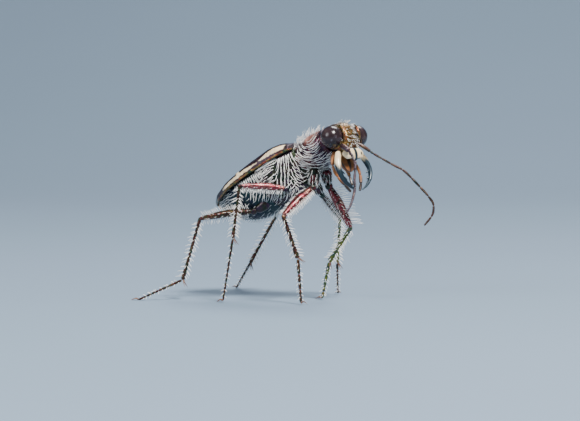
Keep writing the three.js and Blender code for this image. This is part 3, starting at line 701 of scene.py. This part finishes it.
# Stations of the furrows, and how wide and deep they are
furrows = {"neck": [(8.85, 0.09, 0.07), (10.86, 0.08, 0.08)], "midline": (0.06, 0.05), "wave": 0.012,
           "rings": (1.15, 1.95, 2.75, 3.6, 4.5), "ringWidth": 0.035,
           "plates": (5.15, 6.25, 7.35), "plateWidth": 0.04, "plateSlant": 0.5, "depth": 0.05}


# Cross furrows near both ends, a midline, and a wavy skin between
def neckFurrow(forward, angle):
    cross = sum(depth * bell(forward, station, width) for station, width, depth in furrows["neck"])
    width, depth = furrows["midline"]
    wave = furrows["wave"] * math.sin(forward * 21 + 2.2 * math.sin(angle * 3))
    return cross + depth * bell(angle, math.pi / 2, width) + wave * math.sin(angle * 9 + forward * 4)


# The seams between the belly's rings
def ringFurrow(forward, angle):
    return sum(furrows["depth"] * bell(forward, seam, furrows["ringWidth"]) for seam in furrows["rings"])


# The slanting seams between the side plates of the chest
def plateFurrow(forward, angle):
    slant = forward + furrows["plateSlant"] * math.sin(angle)
    return sum(furrows["depth"] * bell(slant, seam, furrows["plateWidth"]) for seam in furrows["plates"])


pronotumTop = [(x, softAt(pronotumMiddle, x) + half) for x, half in pronotumHeight]
pronotumBelly = [(x, softAt(pronotumMiddle, x) - half) for x, half in pronotumHeight]
neckTables = (8.25, 11.3, pronotumWidth, pronotumTop, pronotumBelly, pronotumMiddle)
chestTables = (4.6, 8.8, thoraxWidth, underShell, thoraxBelly, trunkWaist)
bellyTables = (0.3, 5.4, abdomenWidth, underShell, abdomenBelly, trunkWaist)
neckRule = trunkRule(*neckTables, neckFurrow)
chestRule = trunkRule(*chestTables, plateFurrow)
bellyRule = trunkRule(*bellyTables, ringFurrow)

# The bare disc on top of the neck shield, the reach of its painted highlight, and the rings of hair round it
swirl = {"forward": 10.2, "up": 0.42, "paintedHighlight": 0.55, "bare": 0.45, "ringGap": 0.15, "step": 0.36, "reach": 3.0}


def fromDisc(point):
    away = point - onTrunk(swirl["forward"], 0, swirl["up"])
    away.y = 0
    return away


# Painted highlight of the bare disc, copper-pink, strongest at its middle and fading out over its reach
def discMark(share, angle):
    return math.exp(-(fromDisc(neckRule(share, angle)).length / swirl["paintedHighlight"]) ** 4), 0.0


formPiece("neck_shield", 128, 96, neckRule, "pronotum_metal", "prothorax", material=metals["purpleNeck"],
          marks=discMark)
formPiece("chest", 96, 96, chestRule, "flank_metal", "thorax", material=metals["greenFlank"])
formPiece("belly", 96, 128, bellyRule, "belly_metal", "abdomen", material=metals["tealBelly"])
print("trunk ready")


# Head

# Ellipsoids that melt into the skull, as centre and radii
skullParts = [
    ((0, 0, 0), (1.1, 1.02, 0.93)),
    ((0.72, 0, 0.12), (0.75, 0.9, 0.62)),
    ((-0.3, 0, -0.75), (0.95, 0.98, 0.9)),
]
skull = {"sharpness": 9.0, "hollow": 0.1, "streaks": 0.012, "seam": 0.05}
browLine = [(0.55, 0.78, 0.72), (0.1, 0.72, 0.9), (-0.45, 0.72, 0.82), (-0.85, 0.85, 0.4)]
orbit = {"degrees": (-80, -45, -10, 25, 60), "radius": 0.85, "inset": 0.2}


# The unit ball's point for a share and an angle, as along, left and face
def onBall(share, angle):
    polar = math.pi * share
    return -math.cos(polar), math.sin(polar) * math.cos(angle), math.sin(polar) * math.sin(angle)


# How far a ray from the head's middle runs before it leaves an ellipsoid
def farSide(direction, centre, radii):
    d = np.array(direction) / np.array(radii)
    o = -np.array(centre) / np.array(radii)
    a, b, c = d.dot(d), 2 * o.dot(d), o.dot(o) - 1
    inside = b * b - 4 * a * c
    return (-b + math.sqrt(inside)) / (2 * a) if inside > 0 else 0.0


def skullRule(share, angle):
    direction = onBall(share, angle)
    reaches = [farSide(direction, centre, radii) for centre, radii in skullParts]
    reach = math.log(sum(math.exp(skull["sharpness"] * r) for r in reaches)) / skull["sharpness"]
    along, left, face = (reach * c for c in direction)
    dent = 0.0
    if face > 0:
        dent += skull["hollow"] * bell(left, 0, 0.45) * bell(along, -0.35, 0.5)
        dent += skull["streaks"] * math.sin(left * 34) * bell(abs(left), 0.75, 0.3)
    if face > 0.2:
        dent += skull["seam"] * bell(along, 0.98, 0.04)
    scale = 1 - dent / reach
    return onHead(along * scale, left * scale, face * scale)


def eyeRule(sign):
    alongRadius, sideRadius, faceRadius = head["eyeRadii"]

    def place(share, angle):
        along, left, face = onBall(share, angle)
        return onHead(alongRadius * along, sign * head["eyeOffset"] + sideRadius * left,
                      head["eyeFace"] + faceRadius * face)
    return place


# A ridge that swells in its middle, through points on the left that sign brings to its side
def ridgeRule(sign, points, swell, early, least):
    route = Route([onHead(along, sign * left, face) for along, left, face in points])
    return tubeRule(route, lambda t: swell * math.sin(math.pi * min(1, t + early)) + least, up=headLeft)


orbitLine = [(orbit["radius"] * math.cos(a), head["eyeOffset"] - orbit["inset"],
              head["eyeFace"] + orbit["radius"] * math.sin(a)) for a in map(math.radians, orbit["degrees"])]
formPiece("skull", 128, 96, skullRule, "head_metal", "head", material=metals["copperHead"])
for side, sign in sides.items():
    formPiece(f"orbit_{side}", 16, 40, ridgeRule(sign, orbitLine, 0.075, 0.05, 0.01), "head_metal",
              material=metals["copperHead"])
    formPiece(f"brow_{side}", 20, 32, ridgeRule(sign, browLine, 0.1, 0.08, 0.02), "head_metal",
              material=metals["copperHead"])
    formPiece(f"eyeball_{side}", 96, 64, eyeRule(sign), "eye", f"eye_{side}", material=eyeGloss)
print("head ready")


# Mouth

lip = {"centre": (1.52, -0.05, 0.6), "radii": (0.44, 1.0, 0.26), "teeth": 0.1, "droop": 0.12}
mouthFloor = {"centre": (1.55, -0.05, -0.3), "radii": (1.1, 0.78, 0.38), "groove": 0.1}
jawSpread = 1.04
jawRadius = [(0, 0.27), (0.25, 0.27), (0.5, 0.21), (0.75, 0.16), (0.92, 0.1), (1, 0.04)]
jawTeeth = [(0.46, 0.5), (0.6, 0.46), (0.74, 0.36)]
jawSides = {"right": {"thickness": 1, "sooner": 0.0}, "left": {"thickness": 0.85, "sooner": 0.2}}


def lipRule(share, angle):
    along, left, face = onBall(share, angle)
    rounded = math.copysign(abs(left) ** 0.8, left)
    scallop = lip["teeth"] * max(0.0, math.cos(left * 9.4)) * max(0.0, along) ** 2
    centre, radii = lip["centre"], lip["radii"]
    return onHead(centre[0] + radii[0] * along + scallop, centre[1] + radii[1] * rounded,
                  centre[2] + radii[2] * face - lip["droop"] * left * left)


# Dark rim, dark midline and a dark pore in the middle of each lobe
def lipMarks(share, angle):
    left = math.sin(math.pi * share) * math.cos(angle)
    rim = bell(share, 0.96, 0.12) + bell(share, 0.05, 0.2)
    pore = math.exp(-((abs(left) - 0.5) ** 2 + (share - 0.55) ** 2) / 0.012)
    return max(rim, bell(left, 0, 0.085), pore), 0.0


# The bundle of mouthparts between the jaws, grooved lengthwise
def mouthRule(share, angle):
    along, left, face = onBall(share, angle)
    centre, radii = mouthFloor["centre"], mouthFloor["radii"]
    groove = 1 - mouthFloor["groove"] * abs(math.cos(angle * 3)) * math.sin(math.pi * share)
    return onHead(centre[0] + radii[0] * along, centre[1] + radii[1] * groove * left,
                  centre[2] + radii[2] * groove * face)


# Dark stripes twisting along the bundle: painted shade for the gaps between the mouthparts
def mouthMark(share, angle):
    return 0.55 + 0.45 * math.cos(angle * 6 + share * 3), 0.0


# The jaws darken towards their tips and teeth, the far one sooner
def jawMark(sooner):
    def marks(share, angle):
        t = eased(share)
        inner = 0.35 * max(0.0, -math.cos(angle)) * t
        return t * 1.15 + sooner + inner + 0.05 * math.sin(angle * 3 + t * 9), 0.0
    return marks


def allDark(share, angle):
    return 0.9, 0.0


formPiece("upper_lip", 96, 64, lipRule, "ivory", "labrum", material=ivoryHorn, marks=lipMarks)
formPiece("mouth_bundle", 64, 48, mouthRule, "palp", material=palpHorn, marks=mouthMark)
for side, sign in sides.items():
    route = Route([onHead(a, b * sign * jawSpread, c) for a, b, c in jawPath])
    thickness = jawSides[side]["thickness"]
    bm = bmesh.new()
    rule = tubeRule(route, lambda t: softAt(jawRadius, t, 0.03) * thickness, up=headFace, flat=0.85)
    addForm(bm, 32, 64, rule, jawMark(jawSides[side]["sooner"]))
    for where, length in jawTeeth:
        root = route.at(where)
        inward = (headLeft * -sign + headAlong * 0.35).normalized()
        middle = root + inward * length * 0.6 + headFace * 0.02
        tooth = Route([root, middle, root + inward * length + headAlong * 0.08])
        rule = tubeRule(tooth, lambda t: 0.12 * (1 - t) + 0.012, up=headFace, flat=1.3)
        addForm(bm, 16, 20, rule, allDark)
    newPiece(f"jaw_{side}", bm, "ivory", f"mandible_{side}", material=ivoryHorn)


# A row of short segments along a route, each swelling a little towards its far end
def jointed(bm, route, radii, ends, up, around=20, rings=24):
    for radius, start, end in zip(radii, ends, ends[1:]):
        def swelling(t, r=radius):
            return r * (0.72 + 0.28 * math.sin(math.pi * min(1.0, 0.15 + t * 0.8)) + 0.1 * t)

        def marks(share, angle, base=start, tip=end):
            return base + (tip - base) * eased(share), 0.0
        addForm(bm, around, rings, tubeRule(route, swelling, up=up, start=start, end=end), marks)


palpSegments = {"jaw": {"radii": [0.13, 0.11, 0.12, 0.1], "ends": [0, 0.32, 0.58, 0.8, 1]},
                "lip": {"radii": [0.12, 0.13, 0.1], "ends": [0, 0.34, 0.72, 1]}}


def buildPalp(kind, side, node, points):
    bm = bmesh.new()
    segments = palpSegments[kind]
    jointed(bm, Route([onHead(*p) for p in points]), segments["radii"], segments["ends"], headFace)
    newPiece(f"{kind}_palp_{side}", bm, "palp", f"{node}_palp_{side}", material=palpHorn)


for side, sign in sides.items():
    buildPalp("jaw", side, "maxillary", maxillaPaths[side])
    buildPalp("lip", side, "labial", [(a, b * sign, c) for a, b, c in labialPath])
print("mouth ready")


# Feelers: eleven segments each, rooted inside the head

feelerEnds = [0, 0.13, 0.16, 0.24, 0.325, 0.43, 0.53, 0.63, 0.73, 0.82, 0.91, 1]
feelerRadii = {"right": [0.2, 0.1, 0.1, 0.095, 0.1, 0.1, 0.1, 0.1, 0.095, 0.09, 0.08],
               "left": [0.13, 0.085, 0.085, 0.085, 0.09, 0.09, 0.09, 0.09, 0.09, 0.085, 0.08]}
feelerRoots = {"right": (5.35, -1.35, 11.62), "left": (5.72, 0.08, 11.72)}
feelerMetals = {"right": "darkFeeler", "left": "copperFeeler"}
for side in sides:
    bm = bmesh.new()
    route = Route([feelerRoots[side]] + feelerPaths[side])
    jointed(bm, route, feelerRadii[side], feelerEnds, (0, 0, 1), 18, 20)
    newPiece(f"feeler_{side}", bm, "feeler", f"antenna_{side}_scape", f"antenna_{side}_middle",
             f"antenna_{side}_tip", material=metals[feelerMetals[side]])
print("feelers ready")


# Legs

legSwell = {
    "coxa": [(0, 0.9), (0.4, 1), (0.85, 0.75), (1, 0.6)],
    "femur": [(0, 0.5), (0.12, 0.72), (0.38, 1), (0.65, 0.9), (0.9, 0.62), (1, 0.55)],
    "tibia": [(0, 0.9), (0.08, 1.15), (0.2, 0.95), (0.7, 0.95), (0.95, 1.25), (1, 1.2)],
}
toes = {"ends": [0, 0.34, 0.54, 0.7, 0.82, 1], "swell": (1.05, 1, 0.95, 0.95, 0.85), "sole": 0.14}
pointRadius = 0.008
hipBall = {"radius": 0.24, "ends": (-0.12, 0.42)}
spur = {"radius": 0.055, "lean": 0.3, "back": 0.12, "inward": 0.9, "middle": 0.4, "length": 0.75, "bow": 0.03}
claw = {"radius": 0.06, "degrees": 30, "middle": 0.22, "arch": 0.09, "length": 0.5, "height": 0.04}
redThighs = ("front_right", "front_left", "middle_right")
greenLengths = {"front_left": ("tibia", "tarsus"), "middle_left": ("tibia",)}
legParts = {}


def towards(a, b, distance):
    return Vector(a) + (Vector(b) - Vector(a)).normalized() * distance


def legRadius(part, size, blur):
    return lambda t: legRadii[part] * size * softAt(legSwell[part], t, blur)


def addSpike(bm, points, radius, up):
    addForm(bm, 12, 20, tubeRule(Route(points), lambda t: radius * (1 - t) + pointRadius, up=up))


def buildHip(name, root, hip, knee, size):
    rule = tubeRule(Route([root, hip]), legRadius("coxa", 1, 0.05), up=(1, 0.3, 0))
    bm = bmesh.new()
    addForm(bm, 32, 32, rule)
    ball = Route([towards(hip, knee, distance) for distance in hipBall["ends"]])
    addForm(bm, 24, 20, tubeRule(ball, lambda t: hipBall["radius"] * size, up=(1, 0.2, 0)))
    metal = "darkHip" if name.startswith("front") else "greenFlank"
    newPiece(f"hip_{name}", bm, "leg_metal", f"coxa_{name}", material=metals[metal])
    return rule


def buildThigh(name, hip, knee, size):
    bulge = hip.lerp(knee, 0.5) + Vector((0, 0, 0.1))
    route = Route([towards(hip, knee, 0.12), bulge, knee])
    rule = tubeRule(route, legRadius("femur", size, 0.06), up=(0.2, 0.1, 1))
    metal = "redLeg" if name in redThighs else "copperLeg"
    formPiece(f"thigh_{name}", 40, 56, rule, "leg_metal", f"femur_{name}", material=metals[metal])
    return rule


def buildShin(name, knee, ankle, size, metal):
    route = Route([towards(knee, ankle, -0.1), knee.lerp(ankle, 0.5), ankle])
    rule = tubeRule(route, legRadius("tibia", size, 0.03), up=(1, 0.2, 0))
    formPiece(f"shin_{name}", 28, 64, rule, "leg_metal", f"tibia_{name}", material=metals[metal])
    axis = (ankle - knee).normalized()
    inward = Vector((-axis.z, 0, axis.x)).normalized()
    bm = bmesh.new()
    start = towards(ankle, knee, spur["back"])
    for lean in (-spur["lean"], spur["lean"]):
        heading = (axis + inward * spur["inward"] + Vector((0, lean, 0))).normalized()
        middle = start + heading * spur["middle"] + axis * spur["bow"]
        addSpike(bm, [start, middle, start + heading * spur["length"]], spur["radius"], (0.1, 1, 0.2))
    newPiece(f"spurs_{name}", bm, "leg_metal", material=spurHorn)
    return rule


def buildFoot(name, ankle, foot, size, metal):
    sole = towards(foot, ankle, toes["sole"])
    route = Route([towards(ankle, foot, 0.05), ankle.lerp(foot, 0.5), sole])
    bm = bmesh.new()
    radii = [legRadii["tarsus"] * size * k for k in toes["swell"]]
    jointed(bm, route, radii, toes["ends"], (1, 0.2, 0), 18, 22)
    newPiece(f"foot_{name}", bm, "leg_metal", f"tarsus_{name}", material=metals[metal])
    ahead = Vector((foot.x - ankle.x, foot.y - ankle.y, 0))
    if ahead.length < 0.4:
        ahead = Vector((1 if foot.x > 0 else -1, 0.4 * (1 if foot.y > 0 else -1), 0))
    ahead.normalize()
    bm = bmesh.new()
    for degrees in (-claw["degrees"], claw["degrees"]):
        out = Matrix.Rotation(math.radians(degrees), 3, "Z") @ ahead
        middle = sole + out * claw["middle"] + Vector((0, 0, claw["arch"]))
        tip = Vector((foot.x, foot.y, claw["height"])) + out * claw["length"]
        addSpike(bm, [sole, middle, tip], claw["radius"], (0.1, 0.2, 1))
    newPiece(f"claws_{name}", bm, "leg_metal", material=spurHorn)
    return tubeRule(route, lambda t: legRadii["tarsus"] * size, up=(1, 0.2, 0))


for name, points in legs.items():
    root, hip, knee, ankle, foot = (Vector(p) for p in points)
    size = legSizes[name.split("_")[0]]
    shinMetal, footMetal = ("greenLeg" if part in greenLengths.get(name, ()) else "copperLeg"
                            for part in ("tibia", "tarsus"))
    legParts[name] = {
        "coxa": (buildHip(name, root, hip, knee, size), (hip - root).normalized()),
        "femur": (buildThigh(name, hip, knee, size), (knee - hip).normalized()),
        "tibia": (buildShin(name, knee, ankle, size, shinMetal), (ankle - knee).normalized()),
        "tarsus": (buildFoot(name, ankle, foot, size, footMetal), (foot - ankle).normalized()),
    }
print("legs ready")


# Hair and bristles

# Rings round the bare disc, erect strands on top of the neck shield and loose ones below it
ringHair = {"stations": (8.32, 10.95), "jitter": 0.04, "steepest": 0.96, "clearOfHead": 2.25,
            "length": (0.6, 1.0), "rise": (0.12, 0.26), "radius": 0.031, "sway": 0.1}
erectHair = {"count": 90, "stations": (8.5, 10.95), "degrees": (42, 138), "forward": (0.1, 0.9),
             "aside": (-0.3, 0.3), "up": 0.6, "length": (0.4, 0.7), "rise": (0.55, 0.85), "radius": 0.024}
throatHair = {"count": 110, "stations": (8.7, 11.1), "degrees": (-130, -50), "length": (0.4, 0.7),
              "rise": (0.25, 0.5), "radius": 0.022}
neckSkin = Skin(*neckTables)
chestSkin = Skin(*chestTables)
bellySkin = Skin(*bellyTables)


def spread(low, high):
    return random.uniform(low, high)


# Hair of the collar's sides runs in arcs round the bare disc
def neckFlow(point):
    return Vector((0, -1, 0)).cross(fromDisc(point)).normalized()


# Fans and herringbones of the flank, told apart by how far forward and how high a root lies
fans = {"upper": 8.3, "lower": 7.5, "front": 0.1, "middle": -1.3}


def chestFlow(point):
    if point.z < fans["upper"]:
        lean = -0.15 if point.z > fans["lower"] else -0.8
    elif point.x > fans["front"]:
        lean = (point.x - 0.4) * 0.9
    elif point.x > fans["middle"]:
        lean = -1.5
    else:
        lean = 0.8
    return Vector((lean, 0, -1)).normalized()


def bellyFlow(point):
    return Vector((-0.86, 0, -0.5))


def edgeFlow(point):
    return Vector((0.6, 0, -0.8)) if point.z > fans["upper"] else Vector((-0.1, 0, -1))


def swayed(flow, amount=0.16):
    turn = Vector((spread(-amount, amount), spread(-amount, amount), spread(-amount, amount)))
    return lambda point: (flow(point) + turn).normalized()


def hairRing(ring):
    made = []
    count = int(2 * math.pi * ring / swirl["step"])
    for k in range(count):
        for side in (-1, 1):
            turn = 2 * math.pi * (k + spread(0.1, 0.9)) / count
            reach = ring + spread(-ringHair["jitter"], ringHair["jitter"])
            forward = swirl["forward"] + reach * math.cos(turn)
            if not ringHair["stations"][0] < forward < ringHair["stations"][1]:
                continue
            height = swirl["up"] + reach * math.sin(turn)
            _, tall, widest = neckSkin.sizes(forward, height - neckSkin.sizes(forward, 0)[2])
            rise = (height - widest) / tall
            if abs(rise) > ringHair["steepest"]:
                continue
            angle = math.asin(rise) if side > 0 else math.pi - math.asin(rise)
            if (neckSkin.spot(forward, angle) - Vector(head["centre"])).length < ringHair["clearOfHead"]:
                continue
            flow = swayed(neckFlow, ringHair["sway"])
            length, rise = spread(*ringHair["length"]), spread(*ringHair["rise"])
            made.append(neckSkin.strand(forward, angle, flow, length, rise, ringHair["radius"]))
    return made


strands = []
ring = swirl["bare"]
while ring < swirl["reach"]:
    strands += hairRing(ring)
    ring += swirl["ringGap"]
for _ in range(erectHair["count"]):
    angle = math.radians(spread(*erectHair["degrees"]))
    lie = Vector((spread(*erectHair["forward"]), spread(*erectHair["aside"]), erectHair["up"]))
    station = spread(*erectHair["stations"])
    length, rise = spread(*erectHair["length"]), spread(*erectHair["rise"])
    strands.append(neckSkin.strand(station, angle, lambda point: lie, length, rise, erectHair["radius"]))
for _ in range(throatHair["count"]):
    angle = math.radians(spread(*throatHair["degrees"]))
    station, flow = spread(*throatHair["stations"]), swayed(neckFlow)
    length, rise = spread(*throatHair["length"]), spread(*throatHair["rise"])
    strands.append(neckSkin.strand(station, angle, flow, length, rise, throatHair["radius"]))
hairPiece("neck_hair", strands, whiteHair)


combJitter = {"station": 0.04, "angle": 0.2}


# Hair rooted on a jittered grid of stations and angles, given as first, last and step, on both sides
def combed(skin, stations, angles, flow, length, rise, radius, lowest=0.0, sway=0.12):
    made = []
    for row, forward in enumerate(np.arange(*stations)):
        for degrees in np.arange(*angles):
            for side in (-1, 1):
                station = forward + spread(-combJitter["station"], combJitter["station"])
                turn = 0.5 * (row % 2) + spread(-combJitter["angle"], combJitter["angle"])
                angle = math.radians(degrees + angles[2] * turn)
                strand = skin.strand(station, angle if side > 0 else math.pi - angle, swayed(flow, sway),
                                     spread(*length), spread(*rise), radius)
                if strand[0].z > lowest:
                    made.append(strand)
    return made


flankCoats = [
    {"stations": (4.85, 8.5, 0.15), "angles": (-56, 24, 9), "flow": chestFlow, "length": (0.5, 0.9),
     "rise": (0.12, 0.3), "radius": 0.029, "lowest": 7.7, "sway": 0.22},
    {"stations": (4.85, 8.5, 0.22), "angles": (-84, -40, 11), "flow": chestFlow, "length": (0.3, 0.5),
     "rise": (0.2, 0.4), "radius": 0.02},
]
bellyCoats = [
    {"stations": (3.3, 5.3, 0.19), "angles": (-12, 26, 9), "flow": edgeFlow, "length": (0.4, 0.65),
     "rise": (0.15, 0.3), "radius": 0.027},
    {"stations": (4.2, 5.4, 0.16), "angles": (-40, -14, 8), "flow": edgeFlow, "length": (0.5, 0.8),
     "rise": (0.15, 0.3), "radius": 0.03, "lowest": 7.7},
    {"stations": (0.75, 2.9, 0.14), "angles": (-70, 0, 9), "flow": bellyFlow, "length": (0.4, 0.6),
     "rise": (0.1, 0.2), "radius": 0.019},
    {"stations": (2.9, 5.3, 0.35), "angles": (-75, -25, 20), "flow": bellyFlow, "length": (0.3, 0.5),
     "rise": (0.12, 0.25), "radius": 0.02},
    {"stations": (1.0, 5.3, 0.17), "angles": (-90, -76, 7), "flow": bellyFlow, "length": (0.22, 0.4),
     "rise": (0.6, 0.85), "radius": 0.022},
]
flankStrands = [strand for coat in flankCoats for strand in combed(chestSkin, **coat)]
hairPiece("flank_hair", flankStrands, whiteHair)
bellyStrands = [strand for coat in bellyCoats for strand in combed(bellySkin, **coat)]
hairPiece("belly_hair", bellyStrands, whiteHair)

faceHair = {"count": 170, "shares": (0.12, 0.8), "degrees": (20, 160), "length": (0.2, 0.42), "radius": 0.012,
            "frontRise": (0.3, 0.6), "rearRise": (0.7, 0.95), "rear": -0.5, "fan": 0.9, "lean": 0.3,
            "bareSide": 0.85, "bareFrom": -0.6}
strands = []
while len(strands) < faceHair["count"]:
    share = spread(*faceHair["shares"])
    angle = math.radians(spread(*faceHair["degrees"]))
    spot = skullRule(share, angle) - Vector(head["centre"])
    along, left = spot.dot(headAlong), spot.dot(headLeft)
    if abs(left) > faceHair["bareSide"] and along > faceHair["bareFrom"]:
        continue
    lie = headAlong + headLeft * spread(-faceHair["fan"], faceHair["fan"])
    length = spread(*faceHair["length"])
    rise = spread(*faceHair["frontRise" if along > faceHair["rear"] else "rearRise"])
    side = spread(-faceHair["lean"], faceHair["lean"])
    strands.append(strandOn(skullRule, share, angle, lie, length, rise, faceHair["radius"], side=side))
hairPiece("face_hair", strands, whiteHair)

# Bristles of a leg, in rows of degrees round and count, and denser fringes of single femora
bristles = {"start": 0.06, "run": 0.9, "jitter": (0.2, 0.8), "wander": 13, "rise": (0.5, 0.8),
            "radius": 0.031, "lean": 0.15}
fringe = {"start": 0.08, "run": 0.86, "jitter": (0.3, 0.7), "wander": 6, "rise": (0.85, 0.96), "lean": 0}
legHair = {
    "coxa": {"rows": [(k * 45, 5) for k in range(8)], "length": (0.35, 0.55), "rise": (0.15, 0.3)},
    "femur": {"rows": [(25, 9), (155, 12), (205, 12), (335, 9)], "length": (0.2, 0.36), "radius": 0.022},
    "tibia": {"rows": [(0, 7), (70, 13), (110, 13), (180, 7), (250, 13), (290, 13)], "length": (0.34, 0.52),
              "rise": (0.7, 0.9)},
    "tarsus": {"rows": [(0, 6), (90, 10), (180, 6), (270, 10)], "length": (0.16, 0.3), "rise": (0.6, 0.85)},
}
# Fringes as degrees round, count, shortest and longest hair, and radius
femurFringes = {
    "middle_right": [(270, 30, 0.3, 0.42, 0.034), (290, 22, 0.3, 0.42, 0.03)],
    "front_right": [(0, 26, 0.35, 0.5, 0.03), (180, 26, 0.35, 0.55, 0.03), (225, 24, 0.3, 0.45, 0.03),
                    (310, 24, 0.3, 0.45, 0.03)],
    "front_left": [(90, 22, 0.65, 0.95, 0.03), (270, 22, 0.4, 0.6, 0.03)],
    "hind_right": [(90, 24, 0.3, 0.5, 0.026), (270, 26, 0.3, 0.5, 0.028)],
    "hind_left": [(90, 22, 0.3, 0.5, 0.026), (270, 24, 0.3, 0.5, 0.026)],
    "middle_left": [(270, 26, 0.3, 0.5, 0.028), (90, 20, 0.3, 0.45, 0.026)],
}
tiles = {"coxa": (0, 0, 1, 0.24), "femur": (0, 0.25, 1, 0.49), "tibia": (0, 0.5, 1, 0.74),
         "tarsus": (0, 0.75, 1, 1)}
lowestHair = 0.02       # strands that would reach lower are left out


def hairRow(name, part, degrees, count, coat):
    made = []
    rule, axis = legParts[name][part]
    for k in range(count):
        t = coat["start"] + coat["run"] * (k + spread(*coat["jitter"])) / count
        angle = math.radians(degrees + spread(-coat["wander"], coat["wander"]))
        length, rise = spread(*coat["length"]), spread(*coat["rise"])
        side = spread(-coat["lean"], coat["lean"]) if coat["lean"] else 0.0
        share, radius, tile = ringShare(t), coat["radius"], tiles[part]
        made.append(strandOn(rule, share, angle, axis, length, rise, radius, tile, side))
    return made


for name in legs:
    strands = []
    for degrees, count, shortest, longest, radius in femurFringes[name]:
        coat = {**fringe, "length": (shortest, longest), "radius": radius}
        strands += hairRow(name, "femur", degrees, count, coat)
    for part, values in legHair.items():
        if part == "coxa" and name.startswith("hind"):
            continue
        for degrees, count in values["rows"]:
            strands += hairRow(name, part, degrees, count, {**bristles, **values})
    above = [strand for strand in strands if min(strand[1].z, strand[2].z) > lowestHair]
    hairPiece(f"bristles_{name}", above, whiteHair)


# Stage, lights and camera, with distances and sizes in metres and the target in millimetres

stage = {"colour": (0.145, 0.205, 0.28), "ahead": 0.5, "behind": 0.45, "wall": 0.6, "width": 2.4,
         "curve": 0.3}
cameraView = {"azimuth": 33, "elevation": 3, "distance": 0.2, "lens": 167.6, "target": (0, 0, 6.63)}
lamps = {
    "key": {"azimuth": 62, "elevation": 52, "distance": 0.32, "size": 0.09, "power": 2.9,
            "colour": (1, 0.97, 0.92)},
    "fill": {"azimuth": -20, "elevation": 25, "distance": 0.36, "size": 0.2, "power": 0.7,
             "colour": (0.92, 0.96, 1)},
    "back": {"azimuth": 190, "elevation": 55, "distance": 0.34, "size": 0.16, "power": 0.9,
             "colour": (1, 1, 1)},
}
sky = {"colour": (0.8, 0.87, 0.95, 1), "strength": 0.2}


# A floor that bends up into a wall behind the beetle, as the camera sees it
def buildStage():
    bm = bmesh.new()
    azimuth = math.radians(cameraView["azimuth"])
    away = Vector((-math.sin(azimuth), math.cos(azimuth), 0))
    sideways = Vector((math.cos(azimuth), math.sin(azimuth), 0))
    back = away * stage["behind"]
    corners = [away * -stage["ahead"], back, back + Vector((0, 0, stage["wall"]))]
    row = [bm.verts.new(c - sideways * stage["width"] / 2) for c in corners]
    edges = [bm.edges.new(pair) for pair in zip(row, row[1:])]
    made = bmesh.ops.extrude_edge_only(bm, edges=edges)
    moved = [v for v in made["geom"] if isinstance(v, bmesh.types.BMVert)]
    bmesh.ops.translate(bm, verts=moved, vec=sideways * stage["width"])
    fold = [e for e in bm.edges if len(e.link_faces) == 2]
    bmesh.ops.bevel(bm, geom=fold, offset=stage["curve"], affect="EDGES", segments=24, profile=0.5,
                    material=-1)
    mesh = bpy.data.meshes.new("floor")
    bm.to_mesh(mesh)
    bm.free()
    mesh.polygons.foreach_set("use_smooth", [True] * len(mesh.polygons))
    floor = bpy.data.objects.new("floor", mesh)
    bpy.context.scene.collection.objects.link(floor)
    finish = Finish("paleFloor", Roughness=0.85)
    tone = finish.ranged(finish.noise(scale=0.02, detail=2.0), (0.3, 0.7), (0.0, 1.0))
    brighter = tuple(c * 1.03 for c in stage["colour"])
    finish.shade({"Base Color": finish.mixed(tone, stage["colour"], brighter)})
    mesh.materials.append(finish.material)


# A camera or lamp that looks at the beetle from an azimuth and elevation
def aimed(name, data, azimuth, elevation, distance):
    a, e = math.radians(azimuth), math.radians(elevation)
    way = Vector((math.sin(a) * math.cos(e), -math.cos(a) * math.cos(e), math.sin(e)))
    item = bpy.data.objects.new(name, data)
    item.location = placed(Vector(cameraView["target"])) + way * distance
    item.rotation_euler = way.to_track_quat("Z", "Y").to_euler()
    bpy.context.scene.collection.objects.link(item)
    return item


cameraData = bpy.data.cameras.new("camera")
cameraData.lens = cameraView["lens"]
cameraData.sensor_width = 36
cameraData.clip_start = 0.005
bpy.context.scene.camera = aimed("camera", cameraData, cameraView["azimuth"], cameraView["elevation"],
                                 cameraView["distance"])
for name, lamp in lamps.items():
    data = bpy.data.lights.new(name, "AREA")
    data.shape = "DISK"
    data.size = lamp["size"]
    data.energy = lamp["power"]
    data.color = lamp["colour"]
    aimed(name, data, lamp["azimuth"], lamp["elevation"], lamp["distance"])

world = bpy.data.worlds.new("studio")
world.use_nodes = True
world.node_tree.nodes["Background"].inputs["Color"].default_value = sky["colour"]
world.node_tree.nodes["Background"].inputs["Strength"].default_value = sky["strength"]
bpy.context.scene.world = world
buildStage()
print("stage ready")
